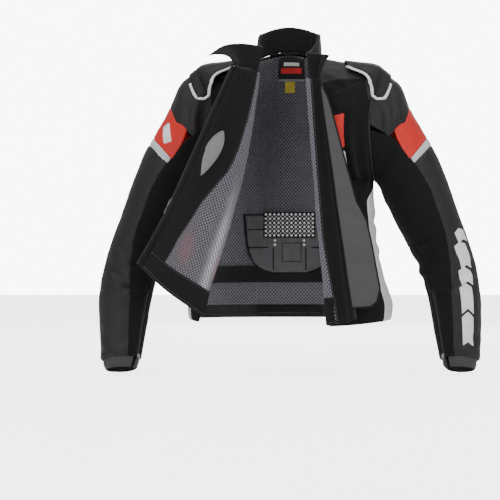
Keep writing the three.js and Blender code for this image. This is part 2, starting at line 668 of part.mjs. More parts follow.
function sleevePieces(side) {
  const surface = (turn, t) => sleeve(side, turn, t);
  const name = (part) => `${side.name}_${part}`;
  const outward = side.sign;

  // A piece between two turns and two rings; either end of the rings may follow the elbow.
  const piece = (part, turns, rings, counts, material, options = {}) => {
    const notch = (turn) => elbowGap * Math.max(0, Math.sin(radians(turn))) + 0.012;
    const [from, to] = rings.map((ring) => (ring === 'above elbow'
      ? (turn) => elbowRing - notch(turn)
      : ring === 'below elbow' ? (turn) => elbowRing + notch(turn) : () => ring));
    const byShare = (turn, share) => surface(turn, lerp(from(turn), to(turn), share));
    const us = (share) => {
      const ends = turns.map((end) => (typeof end === 'function'
        ? end(lerp(from(0), to(0), share)) : end));
      return steps(ends[0] + seamTurn, ends[1] - seamTurn, counts[0]);
    };
    const geometry = cloth(byShare, us, steps(0, 1, counts[1]), { outward, ...options });
    return add(jacket, name(part), geometry, material);
  };

  piece('sleeve_outer', [-118, 112], [armholeGap, bandRings[0] - seam], [12, 6], charcoalLeather);
  piece('sleeve_stretch', [112, 242], [armholeGap, 'above elbow'], [8, 9], blackStretch);
  piece('arm_band', [-118, 112], [bandRings[0] + seam, bandRings[1] - seam], [12, 2], redLeather);
  piece('sleeve_middle', [-118, 112], [bandRings[1] + seam, 'above elbow'], [12, 4], charcoalLeather);
  piece('shoulder_cup', [-62, 52], [0.12, 1.0], [8, 4], cupPlastic,
    { outer: -cupHeight, thickness: cupHeight - cupClearance });
  piece('shoulder_protector', [-55, 55], [0.2, 1.5], [8, 4], protectorFoam,
    { outer: leather + 2, thickness: padThickness });

  const slotEdge = (direction) => (t) =>
    cuffSlot + direction * (t > cuffSlotTop ? cuffSlotHalf : 0.1);
  piece('forearm_outer', [-118, slotEdge(-1)], ['below elbow', sleeveEndRing], [13, 9],
    charcoalLeather);
  piece('forearm_stretch', [slotEdge(1), 242], ['below elbow', sleeveEndRing], [5, 9],
    blackStretch);
  piece('elbow_protector', [-95, 35], [elbowRing + 0.15, elbowRing + 1.5], [8, 4], protectorFoam,
    { outer: leather + 2, thickness: padThickness });
  piece('cuff_band', [cuffSlot + 8, cuffSlot + 352], [7.55, sleeveEndRing + 1], [18, 3],
    greyNeoprene, { outer: 5, thickness: 3 });

  // Cuff zip: a straight tape let into the slot, its slider at the lower end.
  const lower = surface(cuffSlot, sleeveEndRing - 0.05);
  const upper = surface(cuffSlot, cuffTapeTop);
  const up = upper.clone().sub(lower).normalize();
  const axle = surface(cuffSlot - 20, 7.2).sub(surface(cuffSlot + 20, 7.2));
  axle.addScaledVector(up, -axle.dot(up)).normalize();
  const out = axle.clone().cross(up).multiplyScalar(outward).normalize();
  const middle = surface(cuffSlot, 7.2);
  if (out.dot(middle.clone().sub(surface(cuffSlot + 180, 7.2))) < 0) out.negate();
  const climb = lerp(sleeveEndRing - 0.05, cuffTapeTop, cuffSlider.start / lower.distanceTo(upper));
  const onCuff = (mesh, lift) => {
    face(mesh, out, up);
    mesh.position.copy(surface(cuffSlot, climb)).addScaledVector(out, lift);
  };
  piece('cuff_zip_tape', [cuffSlot - cuffTapeHalf, cuffSlot + cuffTapeHalf],
    [cuffTapeTop, sleeveEndRing - 0.05], [2, 8], zipTape, { outer: 0.3, thickness: 2 });
  const lift = 0.6;
  onCuff(add(jacket, name('cuff_slider'), bevelledBlock(cuffSlider.width, cuffSlider.depth,
    cuffSlider.length), zipMetal), lift + cuffSlider.depth / 2);
  onCuff(add(jacket, name('cuff_puller'), pullerPlate(cuffPuller), zipMetal),
    lift + cuffSlider.depth + cuffPuller.head + pullerClearance);
}
sleevePieces(left);
sleevePieces(right);

export default jacket;
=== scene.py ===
import math

import bpy
import numpy as np
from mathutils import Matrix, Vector


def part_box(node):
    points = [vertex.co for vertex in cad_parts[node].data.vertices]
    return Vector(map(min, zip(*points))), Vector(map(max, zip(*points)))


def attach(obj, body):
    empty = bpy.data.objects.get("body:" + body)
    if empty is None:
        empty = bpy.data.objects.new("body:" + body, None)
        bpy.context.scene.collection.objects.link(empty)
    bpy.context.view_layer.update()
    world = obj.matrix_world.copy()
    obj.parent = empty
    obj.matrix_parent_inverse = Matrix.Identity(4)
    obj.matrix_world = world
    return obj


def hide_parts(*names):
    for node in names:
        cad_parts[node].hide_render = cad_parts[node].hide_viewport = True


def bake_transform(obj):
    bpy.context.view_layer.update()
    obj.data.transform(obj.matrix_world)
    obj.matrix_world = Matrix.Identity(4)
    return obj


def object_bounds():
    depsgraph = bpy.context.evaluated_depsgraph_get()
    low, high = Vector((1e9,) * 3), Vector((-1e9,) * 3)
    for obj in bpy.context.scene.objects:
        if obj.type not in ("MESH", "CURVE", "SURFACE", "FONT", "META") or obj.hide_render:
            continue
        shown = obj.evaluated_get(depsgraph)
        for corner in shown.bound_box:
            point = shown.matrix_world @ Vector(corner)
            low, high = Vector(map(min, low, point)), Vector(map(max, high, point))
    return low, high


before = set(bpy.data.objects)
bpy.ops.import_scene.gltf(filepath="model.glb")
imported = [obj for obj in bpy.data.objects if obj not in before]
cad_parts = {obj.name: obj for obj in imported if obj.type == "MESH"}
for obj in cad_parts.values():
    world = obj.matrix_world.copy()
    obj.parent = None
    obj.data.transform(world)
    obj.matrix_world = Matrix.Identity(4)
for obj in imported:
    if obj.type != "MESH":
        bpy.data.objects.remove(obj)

# A leather riding jacket with its front folded open, in metres, +Z up, the wearer facing -Y.
# The surfaces below repeat the frame's own: a body from neck to hem, two fronts that fold
# back along straight lines, two sleeves and a collar. Each piece is cut out of one of them.

cad_low, cad_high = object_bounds()

# ---------------------------------------------------------------- surfaces

# Half width, front and back depth, height at front, side and back, and squareness.
BODY_RINGS = np.array([
    [74, 62, 62, -72, -22, 0, 1],
    [105, 84, 80, -88, -27, -16, 1],
    [150, 96, 98, -105, -35, -42, 0.95],
    [208, 98, 112, -130, -50, -80, 0.8],
    [210, 98, 122, -170, -105, -130, 0.75],
    [204, 100, 126, -230, -190, -200, 0.75],
    [192, 108, 122, -310, -300, -300, 0.8],
    [196, 116, 112, -400, -400, -400, 0.8],
    [202, 124, 104, -460, -460, -460, 0.8],
    [215, 128, 108, -520, -520, -520, 0.8],
    [234, 140, 118, -580, -580, -580, 0.8],
    [232, 142, 118, -632, -620, -620, 0.8],
]) * ([0.001] * 6 + [1])
SHOULDER, ARMPIT, HEM = 3, 6, 11
ARMHOLE_FRONT, ARMHOLE_BACK = 36, 42
SIDE_FRONT = {1: 28, -1: 15}
SIDE_BACK = 28


def smooth(t):
    t = np.clip(t, 0, 1)
    return t * t * (3 - 2 * t)


def paired(u, v):
    """Two numbers or arrays as float arrays of one shape."""
    return np.broadcast_arrays(np.asarray(u, float), np.asarray(v, float))


def unit(vectors):
    return vectors / np.maximum(np.linalg.norm(vectors, axis=-1, keepdims=True), 1e-12)


def spline(rows, t):
    """Catmull-Rom through rows, one for each whole value of t."""
    rows = np.asarray(rows, float)
    last = len(rows) - 1
    t = np.asarray(t, float)
    i = np.clip(np.floor(t).astype(int), 0, last - 1)
    f = (t - i)[..., None]
    if rows.ndim == 2:
        p0, p1, p2, p3 = (rows[np.clip(i + k, 0, last)] for k in (-1, 0, 1, 2))
    else:
        place = tuple(np.indices(t.shape))
        p0, p1, p2, p3 = (rows[(np.clip(i + k, 0, last), *place)] for k in (-1, 0, 1, 2))
    cubic = 3 * p1 - p0 - 3 * p2 + p3
    square = 2 * p0 - 5 * p1 + 4 * p2 - p3
    return 0.5 * (2 * p1 + f * (p2 - p0 + f * (square + f * cubic)))


def body(angle, ring):
    """A point on the body: angle 0 at the front, 90 at the wearer's left, 180 at the back."""
    angle, ring = paired(angle, ring)
    half, front, back, low_front, low_side, low_back, square = np.moveaxis(
        spline(BODY_RINGS, ring), -1, 0)
    s, c = np.sin(np.radians(angle)), np.cos(np.radians(angle))
    depth = np.where(c > 0, -front, back)
    low = np.where(c > 0, low_front, low_back)
    return np.stack([
        half * np.sign(s) * np.abs(s) ** square,
        depth * np.abs(c) ** square,
        low_side + (low - low_side) * c * c,
    ], -1)


def ring_of(row):
    """Rows run as rings do, except beside the armhole, where they follow its oval."""
    row = np.asarray(row, float)
    turn = np.pi * (row - SHOULDER) / (ARMPIT - SHOULDER)
    beside = (row > SHOULDER) & (row < ARMPIT)
    return np.where(beside, (SHOULDER + ARMPIT) / 2 - (ARMPIT - SHOULDER) / 2 * np.cos(turn), row)


def armhole_reach(row):
    row = np.asarray(row, float)
    beside = (row > SHOULDER) & (row < ARMPIT)
    return np.where(beside, np.sin(np.pi * (row - SHOULDER) / (ARMPIT - SHOULDER)), 0)


def front_edge(side, row):
    return 90 - ARMHOLE_FRONT * armhole_reach(row) - SIDE_FRONT[side] * smooth((row - ARMPIT) / 0.5)


def back_edge(row):
    return 90 + ARMHOLE_BACK * armhole_reach(row) + SIDE_BACK * smooth((row - ARMPIT) / 1.5)


def mirrored(side, points):
    return points * [side, 1, 1]


# Where each front folds, and its zip edge while closed. Sides are 1, the wearer's left, and -1.
ZIP_LINE = 0.008
FOLD_TOP = {1: (26, 0.65), -1: (46, 1.0)}
FOLD_HEM = {1: 16.5, -1: 60.5}
FOLD = {k: (mirrored(k, body(*FOLD_TOP[k])), mirrored(k, body(FOLD_HEM[k], HEM))) for k in (1, -1)}
ZIP = {k: tuple(body(0, ring) * [0, 1, 1] + [ZIP_LINE + 0.001 * k, 0, 0] for ring in (0.7, HEM))
       for k in (1, -1)}
OPEN = {1: -136, -1: 118}
SIDE_NAME = {1: "left", -1: "right"}


def between(pair, s):
    s = np.asarray(s, float)[..., None]
    return pair[0] * (1 - s) + pair[1] * s


def fold_share(row):
    low = body(0, ring_of(row))[..., 2]
    top, hem = body(0, 0)[2], body(0, HEM)[2]
    return (low - top) / (hem - top)


def chest(side):
    """The fixed part of a front, from the side seam or armhole (u 0) to the fold (u 1)."""
    def surface(u, row):
        u, row = paired(u, row)
        ring, edge = ring_of(row), front_edge(side, row)
        start = mirrored(side, body(edge, ring))
        leave = unit(mirrored(side, body(edge - 2, ring) - body(edge + 2, ring)))
        s = fold_share(row)
        end = between(FOLD[side], s)
        arrive = unit(between(ZIP[side], s) - end)
        pull = 0.9 * np.linalg.norm(end - start, axis=-1, keepdims=True)
        u = u[..., None]
        h = smooth(u)
        return (start * (1 - h) + leave * pull * u * (1 - u) ** 2
                + end * h - arrive * pull * u * u * (1 - u))
    return surface


def turned(points, line, degrees):
    """Points turned about the line through two points, by one angle or an angle each."""
    axis = unit(line[1] - line[0])
    a = np.radians(np.asarray(degrees, float))[..., None]
    p = points - line[0]
    along = (p @ axis)[..., None] * axis
    return line[0] + along + (p - along) * np.cos(a) + np.cross(axis, p) * np.sin(a)


FRONT_BULGE = 0.012
HEM_FLARE = {1: 0, -1: 8}
HEM_RISE = {1: 0.0, -1: 0.078}       # a front's hem rises towards its zip
HEM_FOOT = {1: 1.0, -1: 0.98}


def hemmed(side, u, s):
    """The share of the fold's length for a share of a front's own height."""
    return s * (HEM_FOOT[side] - HEM_RISE[side] * np.clip(u, 0, 1))


def open_angle(side, s):
    """How far a front is folded back at a height: the right one's lower corner flares out."""
    return OPEN[side] - side * HEM_FLARE[side] * np.clip((s - 0.62) / 0.38, 0, 1) ** 1.3


def closed_front(side):
    def surface(u, s):
        u, s = paired(u, s)
        base = between(FOLD[side], s) * (1 - u[..., None]) + between(ZIP[side], s) * u[..., None]
        base[..., 1] -= FRONT_BULGE * np.sin(np.pi * np.clip(u, 0, 1)) ** 2
        return base
    return surface


def front(side):
    """A front folded back, from the fold (u 0) to the zip (u 1) and from the neck to the hem."""
    closed = closed_front(side)

    def surface(u, s):
        u, s = paired(u, s)
        s = hemmed(side, u, s)
        return turned(closed(u, s), FOLD[side], open_angle(side, s))
    return surface


# Sleeve rings: centre, tilt and lean of the ring, outward and front-to-back radius.
ARMHOLE_TOP, ARMHOLE_BOTTOM = body(90, SHOULDER), body(90, ARMPIT)
ARMHOLE_CENTRE = (ARMHOLE_TOP + ARMHOLE_BOTTOM) / 2
ARM_TURN = ARMHOLE_CENTRE + [0.079, 0.001, -0.125]
ELBOW = ARMHOLE_CENTRE + [0.1582, 0.002, -0.3118]
WRIST = ARMHOLE_CENTRE + [0.184, -0.042, -0.517]
SLEEVE_END = WRIST + [0.001, -0.005, -0.019]
CUFF_END = SLEEVE_END + [0.001, -0.005, -0.023]
SLEEVE_RINGS = [
    (ARMHOLE_CENTRE + [0.026, 0.002, -0.019], 77, 0, 0.115, 0.08),
    (ARMHOLE_CENTRE + [0.0415, 0.003, -0.053], 65.5, 0, 0.093, 0.078),
    (ARM_TURN, 37, 0, 0.078, 0.074),
    (ARM_TURN * 0.4 + ELBOW * 0.6, 23, 2, 0.0685, 0.069),
    (ELBOW, 14, 6, 0.064, 0.0608),
    (ELBOW * 0.57 + WRIST * 0.43 + [0.008, 0, 0], 6, 14, 0.06, 0.0563),
    (WRIST, -2, 16, 0.048, 0.0432),
    (SLEEVE_END, -2, 16, 0.0451, 0.0403),
    (CUFF_END, -2, 16, 0.0394, 0.0355),
]


def armhole_place(turn):
    """Cosine and sine of a turn round the armhole, and the body's reach and ring there."""
    c, s = np.cos(np.radians(turn)), np.sin(np.radians(turn))
    reach = np.where(s > 0, ARMHOLE_FRONT, ARMHOLE_BACK)
    return c, s, reach, (SHOULDER + ARMPIT) / 2 - (ARMPIT - SHOULDER) / 2 * c


def sleeve(side):
    """A sleeve: turn 0 is the outer side, 90 the front, 180 the inside of the arm."""
    def surface(turn, t):
        turn, t = paired(turn, t)
        c, s, reach, ring = armhole_place(turn)
        rings = [body(90 - s * reach, ring)]
        for centre, tilt, lean, outward, forward in SLEEVE_RINGS:
            tilt, lean = math.radians(tilt), math.radians(lean)
            rings.append(centre + np.stack([
                outward * c * math.cos(tilt),
                -forward * s * math.cos(lean),
                outward * c * math.sin(tilt) + forward * s * math.sin(lean),
            ], -1))
        return mirrored(side, spline(np.array(rings), t))
    return surface


def over_shoulder(side):
    """The sleeve carried on inwards over the shoulder, where t is below 0."""
    on_sleeve = sleeve(side)

    def surface(turn, t):
        turn, t = paired(turn, t)
        c, s, reach, ring = armhole_place(turn)
        inward = np.clip(-t, 0, 3)
        ring = ring - 1.35 * inward * np.clip(c, 0, 1)
        angle = 90 - s * reach * (1 + 0.25 * inward)
        on_body = mirrored(side, body(angle, ring))
        return np.where((t < 0)[..., None], on_body, on_sleeve(turn, np.maximum(t, 0)))
    return surface


COLLAR_HEIGHT = 0.057
COLLAR_LEAN = -0.06
NECK_FRONT = 0.28


def neck_seam(q):
    """The neck seam, from the left fold (q 0) round the back to the right fold (q 1)."""
    q = np.asarray(q, float)
    left = chest(1)(1 - q / NECK_FRONT, np.zeros_like(q))
    right = chest(-1)((q - 1 + NECK_FRONT) / NECK_FRONT, np.zeros_like(q))
    back = body(90 + 180 * (q - NECK_FRONT) / (1 - 2 * NECK_FRONT), 0)
    q = q[..., None]
    return np.where(q < NECK_FRONT, left, np.where(q > 1 - NECK_FRONT, right, back))


def fold_up(side):
    """Up along a front's fold."""
    return unit(FOLD[side][0] - FOLD[side][1])


def collar(q, h):
    q, h = paired(q, h)
    base = neck_seam(q)
    upright = unit(base * [1, 1.2, 0]) * COLLAR_LEAN + [0, 0, 1]
    end = np.where((q < 0.5)[..., None], fold_up(1), fold_up(-1))
    share = smooth(np.minimum(q, 1 - q) / NECK_FRONT)[..., None]
    return base + (end * (1 - share) + upright * share) * COLLAR_HEIGHT * h[..., None]


FLAP_DEPTH, FLAP_OPEN = 0.0075, -80
# The storm flap's width down the zip: share of the zip's length, width.
FLAP_SHARES = [0.035, 0.08, 0.12, 0.3, 0.43, 0.52, 0.6, 0.7, 0.88, 0.935, 0.955]
FLAP_WIDTHS = [0.006, 0.015, 0.019, 0.031, 0.041, 0.048, 0.065, 0.070, 0.074, 0.062, 0.042]


def zip_axes(side):
    """A closed zip's own axes: up the zip, towards the fold, and out of the front."""
    up = unit(ZIP[side][0] - ZIP[side][1])
    inward = between(FOLD[side], 0.6) - between(ZIP[side], 0.6)
    inward = unit(inward - inward @ up * up)
    return up, inward, side * unit(np.cross(inward, up))


def flap_line(s):
    """The line the storm flap hangs from, behind the closing line."""
    return between(ZIP[-1], s) * [0, 1, 1] + [ZIP_LINE, 0, 0] - zip_axes(-1)[2] * FLAP_DEPTH


FLAP_AXIS = (flap_line(0), flap_line(1))


def storm_flap(u, s):
    u, s = paired(u, s)
    width = np.interp(s, FLAP_SHARES, FLAP_WIDTHS)
    closed = flap_line(s) + zip_axes(-1)[1] * (u * width)[..., None]
    return turned(turned(closed, FLAP_AXIS, FLAP_OPEN), FOLD[1], OPEN[1])


# ---------------------------------------------------------------- shader maths

class Number:
    """A number from a node, which takes arithmetic: each operator adds one Math node."""

    def __init__(self, finish, socket):
        self.finish = finish
        self.socket = socket

    def maths(self, operation, *values):
        return self.finish.node("ShaderNodeMath", {"operation": operation}, dict(enumerate(values)))

    def __add__(self, other):
        return self.maths("ADD", self, other)

    def __sub__(self, other):
        return self.maths("SUBTRACT", self, other)

    def __rsub__(self, other):
        return self.maths("SUBTRACT", other, self)

    def __mul__(self, other):
        return self.maths("MULTIPLY", self, other)

    def __truediv__(self, other):
        return self.maths("DIVIDE", self, other)

    def wave(self):
        return self.maths("SINE", self)

    def fraction(self):
        return self.maths("FRACT", self)

    def most(self, other):
        return self.maths("MAXIMUM", self, other)

    __radd__ = __add__
    __rmul__ = __mul__


class Finish:
    """A material and the nodes that make it."""

    def __init__(self, name, **constants):
        self.material = bpy.data.materials.new(name)
        self.material.use_nodes = True
        self.tree = self.material.node_tree
        self.shader = self.tree.nodes["Principled BSDF"]
        self.set(**constants)

    def node(self, kind, settings, sockets, output=0):
        made = self.tree.nodes.new(kind)
        for key, value in settings.items():
            setattr(made, key, value)
        for key, value in sockets.items():
            self.feed(made.inputs[key], value)
        return Number(self, made.outputs[output])

    def feed(self, socket, value):
        if isinstance(value, Number):
            self.tree.links.new(value.socket, socket)
        elif socket.type == "RGBA" and len(value) == 3:
            socket.default_value = (*value, 1)
        else:
            socket.default_value = value

    def set(self, **inputs):
        for key, value in inputs.items():
            self.feed(self.shader.inputs[key.replace("_", " ").title().replace("Ior", "IOR")], value)

    def attribute(self, name):
        return self.node("ShaderNodeAttribute", {"attribute_name": name}, {}, "Fac")

    def cloth_place(self, across=1, along=1):
        """The piece's own pattern in metres, its U across and its V along."""
        return self.node("ShaderNodeMapping", {}, {
            "Vector": self.node("ShaderNodeUVMap", {"uv_map": "pattern"}, {}),
            "Scale": (across, along, 1)})

    def place(self):
        return self.node("ShaderNodeTexCoord", {}, {}, "Object")

    def parts(self, vector):
        split = self.tree.nodes.new("ShaderNodeSeparateXYZ")
        self.feed(split.inputs[0], vector)
        return Number(self, split.outputs[0]), Number(self, split.outputs[1])

    def noise(self, vector, scale, detail=3, roughness=0.5):
        return self.node("ShaderNodeTexNoise", {}, {
            "Vector": vector, "Scale": scale, "Detail": detail, "Roughness": roughness})

    def cells(self, vector, scale, feature="DISTANCE_TO_EDGE"):
        return self.node("ShaderNodeTexVoronoi", {"feature": feature}, {
            "Vector": vector, "Scale": scale}, "Distance")

    def ramp(self, value, low, high):
        """0 where the value is under low, 1 over high."""
        return self.node("ShaderNodeMapRange", {"interpolation_type": "SMOOTHSTEP"}, {
            "Value": value, "From Min": low, "From Max": high})

    def mix(self, factor, first, second):
        made = self.tree.nodes.new("ShaderNodeMix")
        made.data_type = "RGBA"
        self.feed(made.inputs["Factor"], factor)
        self.feed(made.inputs[6], first)
        self.feed(made.inputs[7], second)
        return Number(self, made.outputs[2])

    def bump(self, height, distance, strength=1.0, under=None):
        sockets = {"Height": height, "Distance": distance, "Strength": strength}
        if under is not None:
            sockets["Normal"] = under
        return self.node("ShaderNodeBump", {}, sockets)


def shade(colour, factor):
    return tuple(min(1, c * factor) for c in colour)


def leather(name, colour, roughness=0.5, grain=1.0, worn=1.5, coat=0.03, perforated=False):
    """Grained cowhide: pebbles, pores, fine creases, and edges rubbed lighter."""
    f = Finish(name, coat_weight=coat, coat_roughness=0.35, specular_ior_level=0.28)
    place = f.cloth_place()
    pebbles = f.ramp(f.cells(place, 620), 0.0, 0.22)
    pores = f.noise(place, 1500, 2)
    wrinkles = f.ramp(f.noise(f.cloth_place(1, 0.45), 85, 7, 0.62), 0.35, 0.7)
    cloud = f.noise(place, 14, 4)
    rubbed = (1 - f.ramp(f.attribute("edge"), 0.001, 0.010)) * f.ramp(f.noise(place, 160, 4), 0.35, 0.65)
    base = f.mix(cloud, shade(colour, 0.8), shade(colour, 1.22))
    base = f.mix(pebbles, shade(colour, 0.62), base)
    base = f.mix(rubbed * 0.45, base, tuple(min(0.9, c * worn + 0.012) for c in colour))
    height = pebbles * 0.5 * grain + pores * 0.15 + wrinkles * 1.5
    if perforated:
        holes = dots(f, place, 0.0042, 0.16)
        base = f.mix(holes, base, (0.002, 0.002, 0.002))
        height = height - holes * 2
    polish = f.ramp(cloud * 0.5 + wrinkles * 0.5, 0.1, 0.9) * 0.16
    f.set(base_color=base, roughness=polish + (roughness - 0.08) - rubbed * 0.08,
          normal=f.bump(height, 0.00035, 0.8))
    return f.material


def dots(f, place, pitch, radius):
    """Staggered round holes: 1 inside a hole."""
    across, along = f.parts(place)
    def lattice(shift):
        x = (across / pitch + shift).fraction() - 0.5
        y = (along / (pitch * 1.1) + shift).fraction() - 0.5
        return f.ramp(x * x + y * y, radius * 0.45, radius * 0.2)
    return lattice(0).most(lattice(0.5))


def knit(name, colour, pitch, depth, fuzz=0.3, roughness=0.9, cords=False):
    """Knitted or woven cloth: ribs one way and threads the other, with a soft sheen."""
    f = Finish(name, sheen_weight=fuzz, sheen_roughness=0.5, specular_ior_level=0.25)
    place = f.cloth_place()
    across, along = f.parts(place)
    turn = 2 * math.pi / pitch
    ribs = (across * turn).wave()
    threads = (along * (turn if not cords else turn * 0.45)).wave()
    pattern = (ribs * threads) * 0.5 + 0.5 if not cords else ribs * 0.5 + 0.5
    fleck = f.noise(place, 700, 3)
    cloud = f.noise(place, 22, 4)
    base = f.mix(pattern, shade(colour, 0.6), shade(colour, 1.25))
    base = f.mix(cloud * 0.6, base, shade(colour, 1.25))
    f.set(base_color=base, roughness=fleck * 0.16 + (roughness - 0.08),
          normal=f.bump(pattern + fleck * 0.6, depth))
    return f.material


def spacer_mesh(name, behind=False):
    """Grey-violet mesh with staggered holes. Over a front, a painted highlight lightens the mesh and its
    holes along the fold's ridge, and red leather behind is painted in as a red tint.
    """
    f = Finish(name, sheen_weight=0.35, sheen_roughness=0.4, specular_ior_level=0.4)
    place = f.cloth_place()
    across, along = f.parts(place)
    holes = dots(f, place, 0.0080, 0.16)
    strands = f.cells(place, 520)
    cloud = f.noise(place, 16, 5)
    base = f.mix(cloud, (0.185, 0.185, 0.215), (0.275, 0.275, 0.31))
    base = f.mix(f.ramp(strands, 0.02, 0.2), (0.11, 0.11, 0.13), base)
    dark = (0.006, 0.006, 0.008)
    # Over the front: a painted highlight along the fold's ridge lightens the mesh and turns its holes pale,
    # and a red tint marks red leather behind
    if behind:
        lit = f.attribute("lit")
        warm = f.attribute("warm")
        base = f.mix(warm * 0.45, base, (0.34, 0.10, 0.12))
        base = f.mix(lit * 0.12, base, (0.42, 0.42, 0.47))
        dark = f.mix(lit, dark, (0.85, 0.86, 0.9))
        dark = f.mix(warm * 0.5, dark, (0.5, 0.1, 0.1))
    f.set(base_color=f.mix(holes, base, dark), roughness=f.noise(place, 90) * 0.2 + 0.62,
          normal=f.bump(f.ramp(strands, 0, 0.2) * 0.5 - holes * 1.6, 0.0006))
    return f.material


def woven(name, colour, pitch=0.0011, roughness=0.85, fuzz=0.15, depth=0.0002):
    """Plain woven cloth with threads over and under."""
    f = Finish(name, sheen_weight=fuzz, sheen_roughness=0.5, specular_ior_level=0.3)
    place = f.cloth_place()
    across, along = f.parts(place)
    turn = 2 * math.pi / pitch
    weave = ((across + along) * turn).wave() * ((across - along) * turn).wave()
    cloud = f.noise(place, 26, 5)
    base = f.mix(weave * 0.5 + 0.5, shade(colour, 0.72), shade(colour, 1.2))
    base = f.mix(f.ramp(cloud, 0.3, 0.75) * 0.5, base, shade(colour, 1.4))
    f.set(base_color=base, roughness=f.noise(place, 300) * 0.15 + (roughness - 0.07),
          normal=f.bump(weave + f.noise(place, 500), depth))
    return f.material


def moulded(name, colour, roughness=0.45, dimples=380, coat=0.0):
    """Moulded rubber or plastic with a fine texture."""
    f = Finish(name, coat_weight=coat, coat_roughness=0.2, specular_ior_level=0.3)
    place = f.place()
    dimple = f.cells(place, dimples)
    base = f.mix(f.noise(place, 60, 5), shade(colour, 0.75), shade(colour, 1.3))
    scuffs = f.ramp(f.noise(place, 240, 6), 0.62, 0.72)
    base = f.mix(scuffs * 0.35, base, shade(colour, 1.9))
    f.set(base_color=base, roughness=f.noise(place, 120) * 0.2 + (roughness - 0.1),
          normal=f.bump(f.ramp(dimple, 0.0, 0.3), 0.0003))
    return f.material


def metal(name, colour, roughness=0.3):
    """Plated zinc, brushed and a little rubbed."""
    f = Finish(name)
    place = f.place()
    brushed = f.noise(place, 900, 4)
    worn = f.ramp(f.noise(place, 150, 5), 0.45, 0.7)
    f.set(base_color=f.mix(worn, colour, shade(colour, 1.5)), metallic=0.95 - worn * 0.1,
          roughness=brushed * 0.25 + (roughness - 0.1), normal=f.bump(brushed, 0.00008))
    return f.material


CHARCOAL = (0.0145, 0.0148, 0.0162)
charcoal_leather = leather("charcoal leather", CHARCOAL, 0.46)
perforated_leather = leather("perforated charcoal leather", CHARCOAL, 0.48, perforated=True)
red_leather = leather("red leather", (0.74, 0.022, 0.014), 0.44, worn=1.15, coat=0.05)
white_leather = leather("white leather", (0.80, 0.80, 0.81), 0.42, worn=1.0, grain=0.5, coat=0.12)
silver_stripe = knit("silver ribbed stripe", (0.52, 0.54, 0.56), 0.0034, 0.0004, roughness=0.55, cords=True)
black_stretch = knit("black stretch weave", (0.0042, 0.0042, 0.0046), 0.0016, 0.00025, fuzz=0.03)
collar_cloth = knit("black collar cloth", (0.0055, 0.0055, 0.006), 0.0012, 0.0002, fuzz=0.04)
grey_neoprene = knit("grey neoprene", (0.066, 0.066, 0.068), 0.0013, 0.0002, fuzz=0.08, roughness=0.85)
cuff_knit = knit("grey ribbed cuff", (0.055, 0.055, 0.058), 0.0030, 0.0005, fuzz=0.1, cords=True)
mesh_lining = spacer_mesh("grey mesh lining")
# The front's mesh, with a painted highlight along its fold
mesh_lining_with_painted_highlight = spacer_mesh("grey mesh lining over the front with painted highlight", behind=True)
black_facing = woven("black facing cloth", (0.0062, 0.0062, 0.0066), roughness=0.9, fuzz=0.02)
label_satin = woven("black label satin", (0.012, 0.012, 0.014), 0.0008, 0.5)
pocket_cloth = woven("silver pocket cloth", (0.26, 0.262, 0.266), 0.0009, 0.5, 0.3)
zip_tape = woven("black zip tape", (0.007, 0.007, 0.0075), 0.0009, 0.8, 0.03)
black_elastic = knit("black waist elastic", (0.004, 0.004, 0.0045), 0.0026, 0.0005, cords=True)
zip_metal = metal("plated zinc", (0.36, 0.37, 0.38))
tooth_plastic = moulded("grey zip teeth", (0.045, 0.046, 0.048), 0.4, 900)
white_piping = moulded("white piping", (0.85, 0.85, 0.86), 0.45, 700)
cup_rubber = moulded("black shoulder rubber", (0.0065, 0.0065, 0.007), 0.5, 420, coat=0.02)
pad_foam = moulded("grey moulded pad", (0.090, 0.091, 0.096), 0.6, 760)
# Dark strips on the pad, and painted shade in its grooves
dark_pad_strips_and_groove_shade = moulded("black pad strips and painted groove shade", (0.006, 0.006, 0.007), 0.7, 900)
protector_foam = moulded("blue-grey protector foam", (0.045, 0.060, 0.085), 0.6, 300)
black_thread = moulded("black thread", (0.030, 0.030, 0.032), 0.55, 2000)
grey_thread = moulded("grey thread", (0.22, 0.22, 0.23), 0.6, 2000)
red_thread = moulded("red thread", (0.62, 0.03, 0.02), 0.5, 2000)
yellow_cloth = woven("yellow tag cloth", (0.62, 0.50, 0.06), 0.0009, 0.6)
white_print = moulded("white print", (0.82, 0.82, 0.83), 0.5, 700)
red_print = moulded("red print", (0.65, 0.03, 0.03), 0.5, 700)

# ---------------------------------------------------------------- cloth

THREADS = {"white leather": grey_thread, "red leather": red_thread, "black facing cloth": grey_thread}


def ripple(points, size, seed):
    """Smooth random heights from -1 to 1, with bumps about size across."""
    lattice = np.random.default_rng(seed).random((24, 24, 24)) * 2 - 1
    q = np.asarray(points) / size
    i = np.floor(q).astype(int)
    f = smooth(q - i)
    total = 0
    for corner in np.ndindex(2, 2, 2):
        weight = np.prod(np.where(np.array(corner), f, 1 - f), axis=-1)
        x, y, z = np.moveaxis((i + corner) % 24, -1, 0)
        total = total + weight * lattice[x, y, z]
    return total


def graded(length, cell):
    """Shares from 0 to 1, close together at both ends, where a seam turns the cloth in."""
    near = np.array([0, 0.0006, 0.0013, 0.0022, 0.0034, 0.0048]) / length
    if near[-1] > 0.3:
        return np.linspace(0, 1, 9)
    inner = np.linspace(near[-1], 1 - near[-1], max(2, round(length / cell)))
    return np.concatenate([near[:-1], inner, 1 - near[:-1][::-1]])


def measured(points, axis):
    """Distance along the grid lines from their first point."""
    step = np.linalg.norm(np.diff(points, axis=axis), axis=-1)
    return np.concatenate([np.zeros_like(np.take(step, [0], axis)), np.cumsum(step, axis)], axis)


def normals_of(points, outward):
    across = np.gradient(points, axis=1)
    down = np.gradient(points, axis=0)
    return unit(np.cross(across, down)) * outward


